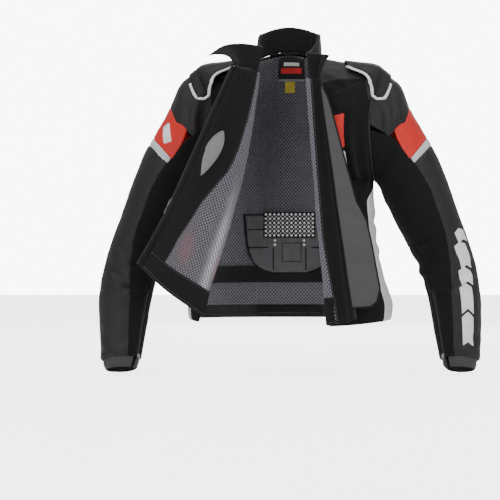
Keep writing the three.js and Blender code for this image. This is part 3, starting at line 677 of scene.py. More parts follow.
def crease(surface, start, end, width, height):
    """A fold that follows a surface from one place to another, each given as its two numbers."""
    share = np.linspace(0, 1, 7)
    line = surface(start[0] + (end[0] - start[0]) * share, start[1] + (end[1] - start[1]) * share)
    return line, width, height


def creases(surface, *folds):
    """Several folds on a surface, each with its start, end, width and height."""
    return [crease(surface, *fold) for fold in folds]


def fold_depth(points, folds):
    """Height of soft folds over some points. Each fold is a line, a width and a height: a ridge,
    or a valley where its height is below 0, strongest at its middle, with a hollow beside it."""
    total = np.zeros(points.shape[:-1])
    for line, width, height in folds:
        nearest = np.full(points.shape[:-1], 9.0)
        share = np.zeros(points.shape[:-1])
        for i, (start, end) in enumerate(zip(line[:-1], line[1:])):
            step = end - start
            h = np.clip((points - start) @ step / (step @ step), 0, 1)
            away = np.linalg.norm(points - start - h[..., None] * step, axis=-1) / width
            share = np.where(away < nearest, (i + h) / (len(line) - 1), share)
            nearest = np.minimum(nearest, away)
        strength = np.sin(np.pi * np.clip(share, 0.02, 0.98)) ** 0.8
        total += height * strength * (np.exp(-nearest ** 2) - 0.45 * np.exp(-(nearest - 1.9) ** 2))
    return total


def build(name, points, faces, material, uvs=None, edges=None):
    mesh = bpy.data.meshes.new(name)
    mesh.from_pydata(np.asarray(points).tolist(), [], faces)
    made = bpy.data.objects.new(name, mesh)
    bpy.context.scene.collection.objects.link(made)
    mesh.materials.append(material)
    loops = np.zeros(len(mesh.loops), np.int32)
    mesh.loops.foreach_get("vertex_index", loops)
    if uvs is None:
        uvs = np.asarray(points)[:, [0, 2]]
    layer = mesh.uv_layers.new(name="pattern")
    layer.data.foreach_set("uv", np.asarray(uvs, np.float32)[loops].ravel())
    if edges is not None:
        mesh.attributes.new("edge", "FLOAT", "POINT").data.foreach_set(
            "value", np.asarray(edges, np.float32))
    mesh.polygons.foreach_set("use_smooth", np.ones(len(mesh.polygons), bool))
    return made


def volume_of(points, faces):
    """Six times a closed shape's volume, below 0 if its faces point inwards."""
    return sum(points[f[0]] @ np.cross(points[f[i]], points[f[i + 1]])
               for f in faces for i in range(1, len(f) - 1))


class Cloth:
    """A piece of a surface: a grid of points with its normals, finished as a closed cloth."""

    def __init__(self, surface, across, down, outward, cell=0.003, depth=0.0, relief=None,
                 seams="lrtb", dip=0.0012, upright=False):
        top, bottom = down
        self.outward = outward * np.sign(bottom - top)
        limits = across if callable(across) else (lambda v: across)

        def grid(u_shares, v_shares):
            v = top + (bottom - top) * np.asarray(v_shares)
            first, last = (np.broadcast_to(np.asarray(x, float), v.shape) for x in limits(v))
            u = first[:, None] + (last - first)[:, None] * np.asarray(u_shares)[None]
            return u, np.broadcast_to(v[:, None], u.shape)

        coarse = surface(*grid(np.linspace(0, 1, 13), np.linspace(0, 1, 13)))
        self.width = measured(coarse, 1)[:, -1].max()
        self.length = measured(coarse, 0)[-1].max()
        self.u, self.v = grid(graded(self.width, cell), graded(self.length, cell))
        base = surface(self.u, self.v)
        normal = normals_of(base, self.outward)
        self.su, self.sv = measured(base, 1), measured(base, 0)
        to_edges = {"l": self.su, "r": self.su[:, -1:] - self.su,
                    "t": self.sv, "b": self.sv[-1:] - self.sv}
        self.to_edges = to_edges
        self.edge = np.minimum.reduce(list(to_edges.values()))
        self.grain = -base[..., 2] if upright else self.sv
        points = base - normal * depth
        if relief is not None:
            points = points + normal * relief(points)[..., None]
        for key in seams:
            points = points - normal * (dip * np.exp(-(to_edges[key] / 0.0022) ** 2))[..., None]
        self.points = points
        self.normals = normals_of(points, self.outward)
        self.extra = []
        step = np.linalg.norm(np.cross(np.gradient(base, axis=1), np.gradient(base, axis=0)), axis=-1)
        self.area = float(step.sum())

    def edge_line(self, key, inset):
        """Points and normals along an edge, so far in from it."""
        grids = (self.to_edges[key], self.points, self.normals)
        if key in "tb":
            grids = (np.swapaxes(grid, 0, 1) for grid in grids)
        found = []
        for distance, points, normals in zip(*grids):
            order = np.argsort(distance)
            if distance.max() > 2 * inset:
                found.append(np.concatenate([
                    [np.interp(inset, distance[order], x[order]) for x in points.T],
                    [np.interp(inset, distance[order], x[order]) for x in normals.T]]))
        found = np.array(found)
        return found[:, :3], found[:, 3:]

    def stitch(self, edges, inset, pitch=0.0042, length=0.0029, radius=0.00042):
        """Rows of stitches along some edges (l, r, t or b), so far in from them."""
        for key in edges:
            self.extra.append(stitches(*self.edge_line(key, inset), pitch, length, radius))
        return self

    def finish(self, name, material, thickness=0.003, thread=None, **attributes):
        rows, columns = self.points.shape[:2]
        outer = self.points.reshape(-1, 3)
        normal = self.normals.reshape(-1, 3)
        inner = outer - normal * thickness
        index = np.arange(rows * columns).reshape(rows, columns)
        rim = np.concatenate([index[0, :-1], index[:-1, -1], index[-1, :0:-1], index[:0:-1, 0]])
        inside = np.concatenate([index[1, :-1], index[:-1, -2], index[-2, :0:-1], index[:0:-1, 1]])
        away = unit(outer[rim] - outer[inside])
        middle = (outer[rim] + inner[rim]) / 2 + away * thickness * 0.25
        points = np.concatenate([outer, inner, middle])
        a, b, c, d = (x.ravel() for x in (index[:-1, :-1], index[:-1, 1:], index[1:, 1:], index[1:, :-1]))
        n = rows * columns
        m = np.arange(len(rim)) + 2 * n
        following = np.roll(rim, -1)
        m_following = np.roll(m, -1)
        faces = np.concatenate([
            np.stack([a, b, c, d], 1),
            np.stack([a + n, d + n, c + n, b + n], 1),
            np.stack([rim, m, m_following, following], 1),
            np.stack([m, rim + n, following + n, m_following], 1),
        ])
        if self.outward < 0:
            faces = faces[:, ::-1]
        uv = np.stack([self.su - self.su[:, -1:] / 2, self.grain], -1).reshape(-1, 2)
        uvs = np.concatenate([uv, uv, uv[rim]])
        edge = self.edge.ravel()
        edges = np.concatenate([edge, edge, edge[rim]])
        faces = faces.tolist()
        for more, shapes in self.extra:
            faces += (shapes + len(points)).tolist()
            points = np.concatenate([points, more])
            uvs = np.concatenate([uvs, more[:, [0, 2]]])
            edges = np.concatenate([edges, np.full(len(more), 0.02)])
        made = build(name, points, faces, material, uvs, edges)
        for key, value in attributes.items():
            flat = value(self.u, self.v).ravel()
            full = np.zeros(len(points), np.float32)
            full[:n], full[n:2 * n] = flat, flat
            made.data.attributes.new(key, "FLOAT", "POINT").data.foreach_set("value", full)
        if self.extra:
            made.data.materials.append(thread or THREADS.get(material.name, black_thread))
            kinds = np.zeros(len(made.data.polygons), np.int32)
            kinds[2 * (rows - 1) * (columns - 1) + 2 * len(rim):] = 1
            made.data.polygons.foreach_set("material_index", kinds)
        return made


def evenly(line, normals, pitch):
    """Places along a line at an even spacing, with the line's direction and normal there."""
    along = measured(line[None], 1)[0]
    count = max(2, int(along[-1] / pitch))
    at = (np.arange(count) + 0.5) * along[-1] / count
    place = np.stack([np.interp(at, along, x) for x in line.T], -1)
    normal = unit(np.stack([np.interp(at, along, x) for x in normals.T], -1))
    ahead = np.stack([np.interp(at + 0.0005, along, x) for x in line.T], -1)
    behind = np.stack([np.interp(at - 0.0005, along, x) for x in line.T], -1)
    return place, unit(ahead - behind), normal


def copied(points, faces, places, axes):
    """One small shape copied to many places; axes are each copy's own x, y and z."""
    x, y, z = axes
    many = (places[:, None] + points[None, :, :1] * x[:, None] + points[None, :, 1:2] * y[:, None]
            + points[None, :, 2:] * z[:, None])
    offset = np.arange(len(places))[:, None, None] * len(points)
    return many.reshape(-1, 3), (faces[None] + offset).reshape(-1, faces.shape[1])


# The faces of a small shape made of four rings of four points, closed at both ends.
FOUR_RINGS = np.array([[4 * j + k, 4 * j + (k + 1) % 4, 4 * j + 4 + (k + 1) % 4, 4 * j + 4 + k]
                       for j in range(3) for k in range(4)] + [[3, 2, 1, 0], [12, 13, 14, 15]])


def stitches(line, normals, pitch, length, radius):
    """A row of stitches, each a short thread that dips into the cloth at its two ends."""
    place, ahead, normal = evenly(line, normals, pitch)
    rings = [(-0.5, -0.5, 0.35), (-0.3, 0.35, 0.9), (0.3, 0.35, 0.9), (0.5, -0.5, 0.35)]
    points = np.array([(x * length, radius * r * math.cos(k * math.pi / 2),
                        radius * (lift + r * math.sin(k * math.pi / 2)))
                       for x, lift, r in rings for k in range(4)])
    across = np.cross(normal, ahead)
    return copied(points, FOUR_RINGS, place, (ahead, across, normal))


def tube(line, radius, normals=None, sides=10, flat=1.0):
    """A round cord with domed ends along a line."""
    line = np.asarray(line, float)
    ahead = unit(np.gradient(line, axis=0))
    if normals is None:
        normals = np.broadcast_to([0.0, 0.0, 1.0], line.shape)
    up = unit(normals - (normals * ahead).sum(-1, keepdims=True) * ahead)
    across = np.cross(up, ahead)
    rings = []
    caps = [(-1, 0.35), (-0.75, 0.7), (-0.35, 0.94)]
    for shift, size in caps:
        rings.append((line[0] + ahead[0] * shift * radius, up[0], across[0], size))
    for place, u, a in zip(line, up, across):
        rings.append((place, u, a, 1))
    for shift, size in caps[::-1]:
        rings.append((line[-1] - ahead[-1] * shift * radius, up[-1], across[-1], size))
    points = [place + (u * math.sin(k * 2 * math.pi / sides) * flat + a * math.cos(k * 2 * math.pi / sides))
              * radius * size for place, u, a, size in rings for k in range(sides)]
    faces = [[sides * j + k, sides * j + sides + k, sides * j + sides + (k + 1) % sides,
              sides * j + (k + 1) % sides]
             for j in range(len(rings) - 1) for k in range(sides)]
    faces += [list(range(sides)), list(range(len(points) - sides, len(points)))[::-1]]
    return np.array(points), faces


def cord_piece(name, line, radius, material, normals=None, flat=1.0):
    points, faces = tube(line, radius, normals, flat=flat)
    if volume_of(points, faces) < 0:
        faces = [f[::-1] for f in faces]
    return build(name, points, faces, material)


def rides(piece, body_name, slot, nodes=(), sheet=None):
    """Puts a finished piece on its body and hides the parts of the frame it stands for."""
    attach(piece, body_name)
    declare(slot, nodes, sheet)


def bends(piece, bodies, ends, slot, nodes=(), sheet=None):
    """Bakes the transform of a piece that lies between two bodies, and hides the parts it stands for."""
    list(bodies)
    tuple(ends[0])
    tuple(ends[1])
    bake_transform(piece)
    declare(slot, nodes, sheet)


NARROWEST_SHEET = 0.0105


def declare(slot, nodes, sheet):
    """Hides the parts of the frame that a piece stands for, and compares a cloth's flat size with the
    narrowest sheet without keeping the result. Slot is not used.
    """
    if nodes:
        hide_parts(*nodes)
    sheet is not None and min(sheet.width, sheet.length) > NARROWEST_SHEET


def skewed(surface, top, bottom):
    """A surface between two edges, each a number or a function along it: h runs from 0 to 1."""
    def slanted(u, h):
        u, h = paired(u, h)
        first, last = (edge(u) if callable(edge) else edge for edge in (top, bottom))
        return surface(u, first * (1 - h) + last * h)
    return slanted


def worn_in(seed, folds=(), height=0.0012, size=0.045):
    """The relief of one part of the jacket: its own folds over a soft unevenness."""
    def relief(points):
        soft = ripple(points, size, seed) + 0.5 * ripple(points, size / 2.3, seed + 1)
        return height * soft + fold_depth(points, folds)
    return relief


# ---------------------------------------------------------------- body

def back_of_body(u, row):
    edge = back_edge(row)
    return body(edge + (360 - 2 * edge) * u, ring_of(row))


back_folds = creases(
    body,
    ((120, 6.2), (175, 6.6), 0.011, 0.004),
    ((235, 6.3), (190, 6.9), 0.010, 0.004),
    ((125, 7.6), (180, 7.3), 0.012, -0.004),
    ((232, 7.9), (178, 7.6), 0.012, -0.004),
    ((140, 4.3), (150, 6.0), 0.012, -0.004),
    ((220, 4.3), (210, 6.0), 0.012, -0.004),
    ((118, 9.3), (160, 9.7), 0.010, 0.003),
    ((242, 9.2), (205, 9.6), 0.010, 0.003),
)
back_relief = worn_in(3, back_folds)
for part, rows, colour, material in (("yoke", (0, 2.5), "charcoal", charcoal_leather),
                                     ("upper", (2.5, 4.5), "charcoal", charcoal_leather),
                                     ("band", (4.5, 5.5), "red", red_leather),
                                     ("lower", (5.5, HEM), "charcoal", charcoal_leather)):
    cut = Cloth(back_of_body, (0, 1), rows, -1, cell=0.0042, relief=back_relief)
    cut.stitch("tblr", 0.0045)
    rides(cut.finish(f"back_{part}_leather", material), "torso", f"{colour}_leather",
          [f"back_{part}"], cut)

lining_folds = creases(
    body,
    ((150, 4.4), (176, 6.4), 0.012, -0.004),
    ((205, 4.8), (186, 6.6), 0.010, 0.004),
    ((212, 5.6), (196, 8.3), 0.009, -0.005),
    ((222, 6.0), (202, 8.6), 0.008, 0.005),
    ((146, 6.4), (156, 8.4), 0.009, -0.004),
    ((200, 6.1), (168, 6.5), 0.007, 0.0035),
    ((232, 7.6), (200, 8.9), 0.007, 0.004),
)
LINING_FACE = 0.010
cut = Cloth(back_of_body, (0, 1), (0.3, 10.2), 1, cell=0.0045, depth=-LINING_FACE,
            relief=worn_in(8, lining_folds, 0.0012, 0.06), upright=True)
rides(cut.finish("back_lining_mesh", mesh_lining, 0.002), "torso", "mesh_lining", ["back_lining"],
      cut)

side_folds = {
    1: creases(chest(1), ((0.05, 4.4), (0.28, 6.6), 0.008, 0.005),
               ((0.16, 4.0), (0.36, 6.3), 0.008, -0.003),
               ((0.34, 3.6), (0.46, 6.2), 0.007, 0.005),
               ((0.02, 5.3), (0.2, 6.6), 0.007, -0.0025),
               ((0.55, 1.0), (0.6, 3.4), 0.009, 0.004)),
    -1: creases(chest(-1), ((0.1, 4.0), (0.35, 6.4), 0.009, 0.005),
                ((0.25, 3.8), (0.5, 6.6), 0.009, -0.005),
                ((0.5, 4.2), (0.7, 6.0), 0.009, 0.004)),
}
for side in (1, -1):
    name = SIDE_NAME[side]
    surface = chest(side)
    relief = worn_in(11 + side, side_folds[side])
    yoke_edge = lambda u: 4.15 - 2.55 * smooth(u * 1.15)

    cut = Cloth(skewed(surface, 0, yoke_edge), (0, 1), (0, 1), side, cell=0.004,
                relief=relief)
    cut.stitch("bl", 0.004)
    rides(cut.finish(f"{name}_chest_leather", charcoal_leather), "torso", "charcoal_leather",
          [f"{name}_chest"], cut)

    cut = Cloth(skewed(surface, yoke_edge, HEM), (0, 1), (0, 1), side, cell=0.0042,
                relief=relief)
    rides(cut.finish(f"{name}_chest_stretch", black_stretch), "torso", "black_stretch",
          [f"{name}_chest_lower"], cut)

    for part, rows, material, stitched, nodes in (
            ("red", (4.2, 4.95), red_leather, "lbt", [f"{name}_chest_band"]),
            ("white", (5.0, 5.34), white_leather, "", [])):
        cut = Cloth(surface, (0.48, 0.99), rows, side, cell=0.004, depth=-0.0011, relief=relief)
        cut.stitch(stitched, 0.003)
        rides(cut.finish(f"{name}_chest_{part}", material, 0.0016), "torso", f"{part}_leather",
              nodes, cut)

    cut = Cloth(surface, (0.005, 1), (0.5, 10.2), -side, cell=0.006, depth=-LINING_FACE,
                relief=worn_in(21 + side, (), 0.001))
    rides(cut.finish(f"{name}_chest_lining_mesh", mesh_lining, 0.002), "torso", "mesh_lining",
          [f"{name}_chest_lining"], cut)

    side_surface = lambda u, row, side=side: mirrored(side, body(
        front_edge(side, row) + (back_edge(row) - front_edge(side, row)) * u, row))
    panel_folds = creases(side_surface, ((0.1, 6.7), (0.9, 7.2), 0.010, -0.003),
                          ((0.1, 8.2), (0.8, 7.8), 0.010, 0.003))
    cut = Cloth(side_surface, (0, 1), (6.06, HEM), -side, cell=0.004,
                relief=worn_in(31 + side, panel_folds))
    cut.stitch("lr", 0.004)
    rides(cut.finish(f"{name}_side_leather", white_leather), "torso", "white_leather",
          [f"{name}_side_panel"], cut)

# ---------------------------------------------------------------- collar

collar_folds = [crease(collar, (q, 0.05), (q + lean, 1.0), width, height) for q, lean, width, height in (
    (0.33, 0.01, 0.005, -0.0022), (0.38, -0.01, 0.006, 0.002), (0.43, 0.006, 0.004, -0.0018),
    (0.47, 0.0, 0.006, 0.0022), (0.52, 0.008, 0.004, -0.002), (0.57, -0.008, 0.005, 0.002),
    (0.62, 0.01, 0.005, -0.0022), (0.67, 0.0, 0.006, 0.002))]
collar_relief = worn_in(41, collar_folds, 0.0008, 0.03)
cut = Cloth(collar, (0.004, 0.996), (1.0, 0.0), 1, cell=0.0035, relief=lambda p: -collar_relief(p))
cut.stitch("t", 0.004).stitch("b", 0.005)
rides(cut.finish("collar_leather", charcoal_leather, 0.0026), "torso", "collar_leather",
      ["collar_outer"], cut)
cut = Cloth(collar, (0.004, 0.996), (0.99, 0.0), -1, cell=0.003, depth=-0.0055, relief=collar_relief)
cut.stitch("t", 0.003)
rides(cut.finish("collar_inside", collar_cloth, 0.0026), "torso", "collar_cloth",
      ["collar_lining"], cut)

# ---------------------------------------------------------------- fronts

LINING_DEPTH = 0.0052             # outer face of a front to the face of its lining
ROLL = 0.12                       # share of a front's u that rolls over the fold
ROLL_PUFF = {1: 0.003, -1: 0.017}
TAPE = 0.013
LEFT_FACING = 0.042


def front_width(side, s):
    """From the fold to the zip, at a height."""
    return np.linalg.norm(between(ZIP[side], s) - between(FOLD[side], s), axis=-1)


def tape_edge(side, s):
    """Where a front's zip tape starts, as its u."""
    return 1 - TAPE / front_width(side, s)


def facing_edge(side, s):
    """Where the facing meets the mesh, as a front's u."""
    if side < 0:
        return np.interp(s, [0, 0.17, 0.33, 0.44, 0.6, 0.78, 0.91, 1],
                         [0.04, 0.08, 0.14, 0.22, 0.43, 0.58, 0.64, 0.66])
    width = front_width(side, s)
    return 1 - (TAPE + np.minimum(LEFT_FACING, width - TAPE - 0.006)) / width


def lined(side, lift=0.0):
    """The inner face of a front: over the fold (u -ROLL to 0), then on to the zip (u 1)."""
    closed = closed_front(side)

    def surface(u, s):
        u, s = paired(u, s)
        s = hemmed(side, u, s)
        along = unit(FOLD[side][1] - FOLD[side][0])
        inward = between(ZIP[side], s) - between(FOLD[side], s)
        inward = unit(inward - (inward @ along)[..., None] * along)
        inner = -side * np.cross(inward, along)
        share = np.clip(1 + u / ROLL, 0, 1)
        away = np.clip(u, 0, None) * front_width(side, s) / 0.05
        puff = ROLL_PUFF[side] * np.sin(np.pi * np.clip(s * 1.1 + 0.02, 0, 1)) * np.exp(-away ** 2)
        depth = LINING_DEPTH + lift + 0.004 * (1 - share) + puff * smooth(share * 1.5)
        points = closed(np.clip(u, 0, 1), s) + inner * depth[..., None]
        return turned(points, FOLD[side], open_angle(side, s) * share)
    return surface


def zip_teeth(name, line, normals, away, body_name):
    """A row of moulded teeth along a tape's edge, each one reaching out past it."""
    place, ahead, normal = evenly(line, normals, 0.0034)
    rings = [(-0.0008, 0.0010, 0.0016), (0.0012, 0.0010, 0.0019), (0.0022, 0.0007, 0.0016),
             (0.0030, 0.0004, 0.0009)]
    points = np.array([(x, y, z) for y, half, high in rings
                       for x, z in ((-half, -high), (half, -high), (half, high), (-half, high))])
    beyond = unit(np.broadcast_to(away, normal.shape) - (away * ahead).sum(-1, keepdims=True) * ahead)
    many, shapes = copied(points, FOUR_RINGS, place, (ahead, beyond, normal))
    if volume_of(many[:16], shapes[:14].tolist()) < 0:
        shapes = shapes[:, ::-1]
    rides(build(name, many, shapes.tolist(), tooth_plastic), body_name, "zip_tape")


for side in (1, -1):
    name = SIDE_NAME[side]
    body_name = f"{name}_front"
    inner = lined(side)
    roll_ends = (inner(-ROLL, 0.5), inner(0, 0.5))
    panel_folds = {
        1: creases(inner, ((0.05, 0.3), (0.3, 0.5), 0.01, 0.003)),
        -1: creases(inner, ((0.06, 0.36), (0.5, 0.66), 0.012, -0.001),
                    ((0.02, 0.5), (0.42, 0.78), 0.010, 0.004),
                    ((0.04, 0.72), (0.5, 0.84), 0.009, -0.001),
                    ((0.3, 0.25), (0.12, 0.5), 0.010, 0.003)),
    }[side]
    panel_relief = worn_in(51 + side, panel_folds, 0.0011, 0.05)
    cut = Cloth(inner, lambda s: (-ROLL, facing_edge(side, s) + 0.02), (0.004, 0.985), -side,
                cell=0.0036, relief=panel_relief)
    # A painted highlight along the fold's ridge, where the lining rolls over the fold
    ridge = lambda u, s: (np.exp(-((u - 0.05 - 0.1 * (s - 0.7)) / 0.06) ** 2)
                          * smooth((s - 0.4) * 3.2) * smooth((1.02 - s) * 9))
    patch = lambda u, s: (np.exp(-((u - 0.42) / 0.10) ** 2 - ((s - 0.80) / 0.07) ** 2)
                          + np.exp(-((u + 0.03) / 0.05) ** 2 - ((s - 0.80) / 0.08) ** 2))
    # The painted highlight and the red tint, kept on the lining as attributes
    painted_highlight_and_red_tint = {"lit": ridge, "warm": lambda u, s: 0.55 * patch(u, s)}
    bends(cut.finish(f"{name}_front_mesh", mesh_lining_with_painted_highlight if side < 0 else mesh_lining, 0.002,
                     **(painted_highlight_and_red_tint if side < 0 else {})),
          ("torso", body_name), roll_ends, "mesh_lining", [f"{name}_front_lining"], cut)

    cut = Cloth(lined(side, 0.0013), lambda s: (facing_edge(side, s), tape_edge(side, s)),
                (0.004, 0.996), -side, cell=0.0036, relief=panel_relief)
    cut.stitch("l", 0.003)
    rides(cut.finish(f"{name}_facing_cloth", black_facing, 0.0026), body_name, "black_facing",
          [f"{name}_facing"], cut)
    hem_top = {1: 0.886, -1: lambda u: 0.895 + 0.02 * np.clip(u, 0, 1)}[side]
    cut = Cloth(skewed(lined(side, 0.0008 if side > 0 else 0.0026), hem_top, 0.996),
                (-ROLL, float(facing_edge(side, 0.9)) + 0.012 if side > 0 else 0.93), (0, 1), -side,
                cell=0.0036, relief=panel_relief)
    cut.stitch("t", 0.003).stitch("b", 0.004)
    bends(cut.finish(f"{name}_hem_facing", black_facing, 0.0022), ("torso", body_name), roll_ends,
          "black_facing", [], cut)

    shell_relief = worn_in(61 + side, (), 0.0012, 0.05)
    cut = Cloth(front(side), lambda s: (0.006, tape_edge(side, s)), (0.004, 0.996), side,
                cell=0.0042, relief=shell_relief)
    cut.stitch("r", 0.004).stitch("b", 0.005)
    rides(cut.finish(f"{name}_front_leather", charcoal_leather, 0.0024), body_name,
          "charcoal_leather", [f"{name}_front_panel"], cut)
    for part, rows, material in (("red", (4.22, 4.92), red_leather),
                                 ("white", (4.96, 5.3), white_leather)):
        cut = Cloth(front(side), lambda s: (0.02, tape_edge(side, s) - 0.01),
                    tuple(float(fold_share(r)) for r in rows), side, cell=0.0042, depth=-0.001,
                    relief=shell_relief)
        rides(cut.finish(f"{name}_front_{part}", material, 0.0014), body_name, f"{part}_leather",
              [], cut)

    cut = Cloth(front(side), lambda s: (tape_edge(side, s) + 0.001, 1), (0.006, 0.994), side,
                cell=0.004, seams="")
    rides(cut.finish(f"{name}_front_tape", zip_tape, 0.0024), body_name, "zip_tape",
          [f"{name}_zip_tape"], cut)
    edge_line, edge_normals = cut.edge_line("r", 0.0004)
    edge_line = edge_line - edge_normals * 0.0012
    away = unit(front(side)(1.0, 0.5) - front(side)(0.9, 0.5))
    zip_teeth(f"{name}_front_teeth", edge_line, edge_normals, away, body_name)

    # The collar's end stands on the front's top edge, bent a little outwards.
    closed = closed_front(side)

    def collar_end(u, h, side=side, closed=closed):
        u, h = paired(u, h)
        rise = fold_up(side) * (1 - u[..., None]) + np.array([0, 0.12, 1]) * u[..., None]
        foot = turned(closed(u, 0 * u), FOLD[side], OPEN[side])
        upright = turned(closed(u, 0 * u) + rise, FOLD[side], OPEN[side]) - foot
        bent = {1: np.array([0.35, -0.3, 0.9]), -1: np.array([-0.95, -0.25, 0.28])}[side]
        share = (np.clip(u, 0, 1) * (0.35 + 0.65 * h))[..., None]
        return foot + unit(upright * (1 - share) + bent * share) * (COLLAR_HEIGHT * h)[..., None]
    end_relief = worn_in(71 + side, (), 0.0008, 0.03)
    cut = Cloth(collar_end, (0.02, 0.98), (0.02, 0.99), -side, cell=0.0035, relief=end_relief)
    cut.stitch("br", 0.004)
    rides(cut.finish(f"{name}_collar_end_leather", charcoal_leather, 0.0022), body_name,
          "collar_leather", [f"{name}_collar_end"], cut)
    cut = Cloth(collar_end, (0.03, 0.97), (0.03, 0.97), side, cell=0.0035, depth=-0.0042,
                relief=end_relief)
    rides(cut.finish(f"{name}_collar_end_cloth", collar_cloth, 0.0018), body_name,
          "collar_cloth", [], cut)

# The storm flap, bound in black, hanging from the left zip edge.
flap_relief = worn_in(81, creases(storm_flap, ((0.2, 0.55), (0.8, 0.6), 0.01, 0.002)), 0.0016, 0.05)
cut = Cloth(storm_flap, (0.0, 1), (0.04, 0.954), 1, cell=0.0034, relief=flap_relief)
cut.stitch("r", 0.0045)
flap_ends = (storm_flap(0.02, 0.6), storm_flap(0.25, 0.6))
bends(cut.finish("storm_flap_cloth", grey_neoprene, 0.0024), ("left_front", "storm_flap"),
      flap_ends, "grey_neoprene", ["storm_flap"], cut)
for key in "rb":
    line, normals = cut.edge_line(key, 0.0008)
    binding = cord_piece(f"flap_binding_{key}", line - normals * 0.0012, 0.0021, black_facing,
                         normals, flat=0.9)
    if key == "r":
        rides(binding, "storm_flap", "black_facing")
    else:
        bends(binding, ("left_front", "storm_flap"), flap_ends, "black_facing")

# The inner pocket: a leaf-shaped pouch with a rolled lip.
POCKET_TOP, POCKET_FOOT = 0.288, 0.505


def pocket_reach(s):
    """The leaf's two edges at a height, as the right front's u."""
    h = np.clip((s - POCKET_TOP) / (POCKET_FOOT - POCKET_TOP), 0, 1)
    middle = 0.48 + 0.15 * h + 0.05 * np.sin(np.pi * h)
    half = 0.012 + 0.17 * np.sin(np.pi * h ** 0.85) ** 0.9
    return middle - half, middle + half


def pouch(u, s):
    """The pouch lies flat at its edges and stands proud in its middle."""
    lower, upper = pocket_reach(s)
    x = np.clip((u - lower) / (upper - lower), 0, 1)
    fullness = (4 * x * (1 - x)) ** 0.6 * np.sin(np.pi * np.clip(
        (s - POCKET_TOP) / (POCKET_FOOT - POCKET_TOP), 0, 1)) ** 0.5
    flat, proud = lined(-1, 0.0030)(u, s), lined(-1, 0.0105)(u, s)
    return flat * (1 - fullness[..., None]) + proud * fullness[..., None]


cut = Cloth(pouch, pocket_reach, (POCKET_TOP, POCKET_FOOT), 1,
            cell=0.003, relief=worn_in(91, (), 0.0007, 0.02), dip=0.0008)
rides(cut.finish("pocket_pouch", pocket_cloth, 0.0016), "right_front", "silver_cloth",
      ["inner_pocket"], cut)
line, normals = cut.edge_line("r", 0.001)
line, normals = line[:int(len(line) * 0.52)], normals[:int(len(line) * 0.52)]
lip = cord_piece("pocket_lip", line + normals * 0.001, 0.0022, pocket_cloth, normals)
rides(lip, "right_front", "silver_cloth")

# ---------------------------------------------------------------- sleeves

EDGE_T = [0, 1, 2, 2.7, 3.4, 4.25, 5, 6, 7, 8]
EDGE_TURN = [104, 96, 86, 78, 70, 75, 88, 104, 112, 112]
CUFF_SLOT, SLOT_HALF, SLOT_TOP = 146, 6.2, 5.8
OUTER_SEAM, INNER_SEAM = -118, 242       # the same seam, reached from either side
BAND_FOOT, ELBOW_SEAM = 2.585, 4.26      # how far down the sleeve


def leather_edge(t):
    """The turn at which the sleeve's leather meets its stretch cloth, in front."""
    return np.interp(t, EDGE_T, EDGE_TURN)


def slot_half(t):
    """Half the opening for the cuff zip, in degrees of turn."""
    return 0.1 + (SLOT_HALF - 0.1) * (np.asarray(t) > SLOT_TOP)


def band_top(turn):
    """The upper edge of the red band, which rises towards the inside of the arm."""
    return 1.9 - 0.85 * np.clip((np.abs(turn) - 55) / 38, 0, 1.3) ** 1.2


# The rubber cup's outline: how far down the sleeve, and half its width as a turn.
CUP_T = [-1.16, -0.9, -0.72, -0.1, 0.25, 0.52, 0.56]
CUP_TURN = [30, 42, 55, 60, 62, 57, 34]


def shoulder_ends_of(side):
    """Where a sleeve's bend at the shoulder starts and ends."""
    armhole = np.array([side * 0.2085, 0, -0.05])
    return armhole, armhole + 0.08 * np.array([side, 0, -0.064])


